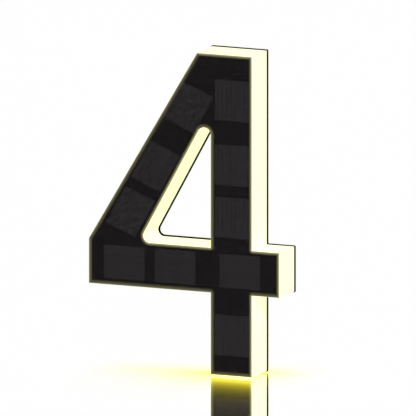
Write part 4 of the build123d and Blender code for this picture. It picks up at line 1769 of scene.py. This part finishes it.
@dataclass
class InnerParts:
    """The parts inside the case, which keep their CAD shapes and take their finishes here."""

    nodes: dict[str, bpy.types.Object]

    def finishes(self) -> list[tuple[object, str]]:
        """Each finish, with the CAD nodes that take it.

        Returns:
            Pairs of a finish and its nodes' names, with a blank between two.
        """
        return [
            (BoardLaminate("black_board", (0.010, 0.010, 0.010), (0.016, 0.016, 0.015)), "panel_board"),
            (Rubber("sealant", (0.72, 0.72, 0.68), 1.1, 0.5), "face_seal"),
            (Rubber("gasket_rubber", (0.03, 0.03, 0.032)), "outer_gasket counter_gasket"),
            (Metal("screw_steel", (0.16, 0.16, 0.155), 0.35), "case_screws board_screws"),
            (Rubber("seal_rubber", (0.05, 0.05, 0.05), 1.3, 0.6), "button_seal"),
            (MouldedPlastic("switch_plastic", (0.02, 0.02, 0.02)), "switch_body"),
            (MouldedPlastic("plunger_plastic", (0.55, 0.54, 0.50), 0.4, 0.06), "switch_plunger"),
            (BoardLaminate("green_board", (0.008, 0.09, 0.03), (0.02, 0.15, 0.05)), "control_board"),
            (MouldedPlastic("chip_plastic", (0.014, 0.014, 0.015), 0.55, 0.1, 0.2), "control_chips"),
            (Rubber("ferrite", (0.035, 0.033, 0.031), 1.4, 0.6), "power_inductor"),
            (
                Metal("can_metal", (0.62, 0.63, 0.65), 0.28, (500.0, 500.0, 3000.0)),
                "filter_capacitors battery_cell",
            ),
            (
                MouldedPlastic("header_nylon", (0.78, 0.77, 0.70), 0.4, 0.05),
                "battery_header panel_header led_header",
            ),
            (
                MouldedPlastic("plug_nylon", (0.70, 0.69, 0.62), 0.42, 0.06),
                "battery_plug panel_plug led_plug",
            ),
            (SleeveFilm(), "battery_sleeve"),
            (Foam("pad_foam", (0.06, 0.06, 0.065)), "battery_pad"),
            (MouldedPlastic("cradle_plastic", (0.03, 0.03, 0.03), 0.5, 0.12), "battery_cradle"),
            (
                Metal("contact_nickel", (0.62, 0.60, 0.54), 0.25),
                "battery_contact_upper battery_contact_lower",
            ),
            (
                BoardLaminate("white_board", (0.78, 0.79, 0.76), (0.70, 0.71, 0.68)),
                "stem_led_strips bar_led_strips diagonal_led_strip",
            ),
            (LampPackage(), "stem_leds bar_leds diagonal_leds"),
            (Rubber("wire_white", (0.72, 0.72, 0.70), 1.08, 0.45), "led_jumpers"),
            (
                Rubber("wire_red", (0.50, 0.03, 0.02), 1.25, 0.45),
                "positive_battery_lead positive_panel_lead left_led_lead",
            ),
            (
                Rubber("wire_black", (0.02, 0.02, 0.02), 1.5, 0.45),
                "negative_battery_lead negative_panel_lead right_led_lead",
            ),
            (Metal("terminal_tin", (0.66, 0.66, 0.64), 0.3), "panel_terminals"),
        ]

    def dress(self) -> None:
        """Puts each node's finish on its material slots."""
        for finish, nodes in self.finishes():
            skin = finish.material()
            for node in nodes.split():
                piece = self.nodes[node]
                if not piece.material_slots:
                    piece.data.materials.append(None)
                for slot in piece.material_slots:
                    slot.material = skin
                LOG.info("%s: %s", node, finish.name)


# ---- Stage ----
@dataclass
class Studio:
    """Floor, light and camera, in metres and degrees but for the floor's gap in mm."""

    floor_gap: float = 1.0
    floor_reach: float = 3.0
    floor_lines: int = 25
    azimuth: float = 23.14
    elevation: float = 10.72
    frame_width: float = 0.25496
    aim: tuple[float, float, float] = (-0.01552, -0.0247, -0.07234)
    camera_distance: float = 1.2
    sun_travel: tuple[float, float, float] = (-0.50, 1.0, -0.81)
    sun_strength: float = 2.3
    sun_spread: float = 6.0
    ambient: float = 0.44
    zenith_dimming: float = 0.8

    def floor(self) -> bpy.types.Object:
        """A flat grid just under the foot, finer near it: each line at its sign times its number squared.

        Returns:
            The floor.
        """
        steps = np.linspace(-1, 1, self.floor_lines)
        lines = np.sign(steps) * steps**2 * self.floor_reach
        across, along = np.meshgrid(lines, lines)
        level = np.full_like(across, -(KEYHOLE_HEIGHT + self.floor_gap) * MM)
        surface = Surface()
        surface.grid(np.stack([across, along, level], axis=-1), closed=False)
        mesh = bpy.data.meshes.new("floor")
        mesh.from_pydata(surface.points[0].tolist(), [], surface.faces[0].tolist())
        made = bpy.data.objects.new("floor", mesh)
        bpy.context.scene.collection.objects.link(made)
        made.data.materials.append(MirrorFloor().material())
        return made

    def world(self) -> None:
        """White where the camera sees it, also in a mirror; softer to matt surfaces, and dim overhead."""
        graph = NodeGraph("soft_room", of_world=True)
        mirrored = graph.ray("Is Glossy Ray").most(graph.ray("Is Transmission Ray"))
        seen = graph.ray("Is Camera Ray").most(mirrored) * graph.ray("Diffuse Depth").below(0.5)
        _, _, up = graph.axes(graph.node("ShaderNodeTexCoord").outputs["Generated"])
        overhead = self.ambient * (1 - self.zenith_dimming)
        soft = graph.shader(
            "ShaderNodeBackground", Color=WHITE, Strength=graph.ranged(up, 0.0, 1.0, self.ambient, overhead)
        )
        white = graph.shader("ShaderNodeBackground", Color=WHITE)
        bpy.context.scene.world = graph.ended(graph.blended(seen, soft, white))

    def sun(self) -> None:
        """One soft lamp from the upper right in front."""
        lamp = bpy.data.lights.new("key_light", "SUN")
        lamp.energy = self.sun_strength
        lamp.angle = math.radians(self.sun_spread)
        made = bpy.data.objects.new("key_light", lamp)
        made.rotation_euler = Vector(self.sun_travel).to_track_quat("-Z", "Y").to_euler()
        bpy.context.scene.collection.objects.link(made)

    def camera(self) -> None:
        """Parallel view from the right and a little above, with no shift and no blur."""
        data = bpy.data.cameras.new("camera")
        data.type = "ORTHO"
        data.ortho_scale = self.frame_width
        data.clip_start, data.clip_end = 0.01, 20.0
        a, e = math.radians(self.azimuth), math.radians(self.elevation)
        back = Vector((math.sin(a) * math.cos(e), -math.cos(a) * math.cos(e), math.sin(e)))
        made = bpy.data.objects.new("camera", data)
        made.location = Vector(self.aim) + back * self.camera_distance
        made.rotation_euler = back.to_track_quat("Z", "Y").to_euler()
        bpy.context.scene.collection.objects.link(made)
        bpy.context.scene.camera = made

    def build(self) -> None:
        """Sets the whole stage."""
        self.floor()
        self.world()
        self.sun()
        self.camera()
        bpy.context.scene.view_settings.view_transform = "Standard"


def main() -> None:
    """Builds the camera and light, then each sub-assembly."""
    logging.basicConfig(level=logging.INFO, format="%(message)s")
    Studio().build()
    pieces = [CaseShell().build(), *SolarFace().build(), BackCover().build(), ModeSwitch().build()]
    for piece in pieces:
        LOG.info("%s in %s", piece.name, piece.data.materials[0].name)
    InnerParts(frame["nodes"]).dress()


if __name__ == "__main__":
    main()
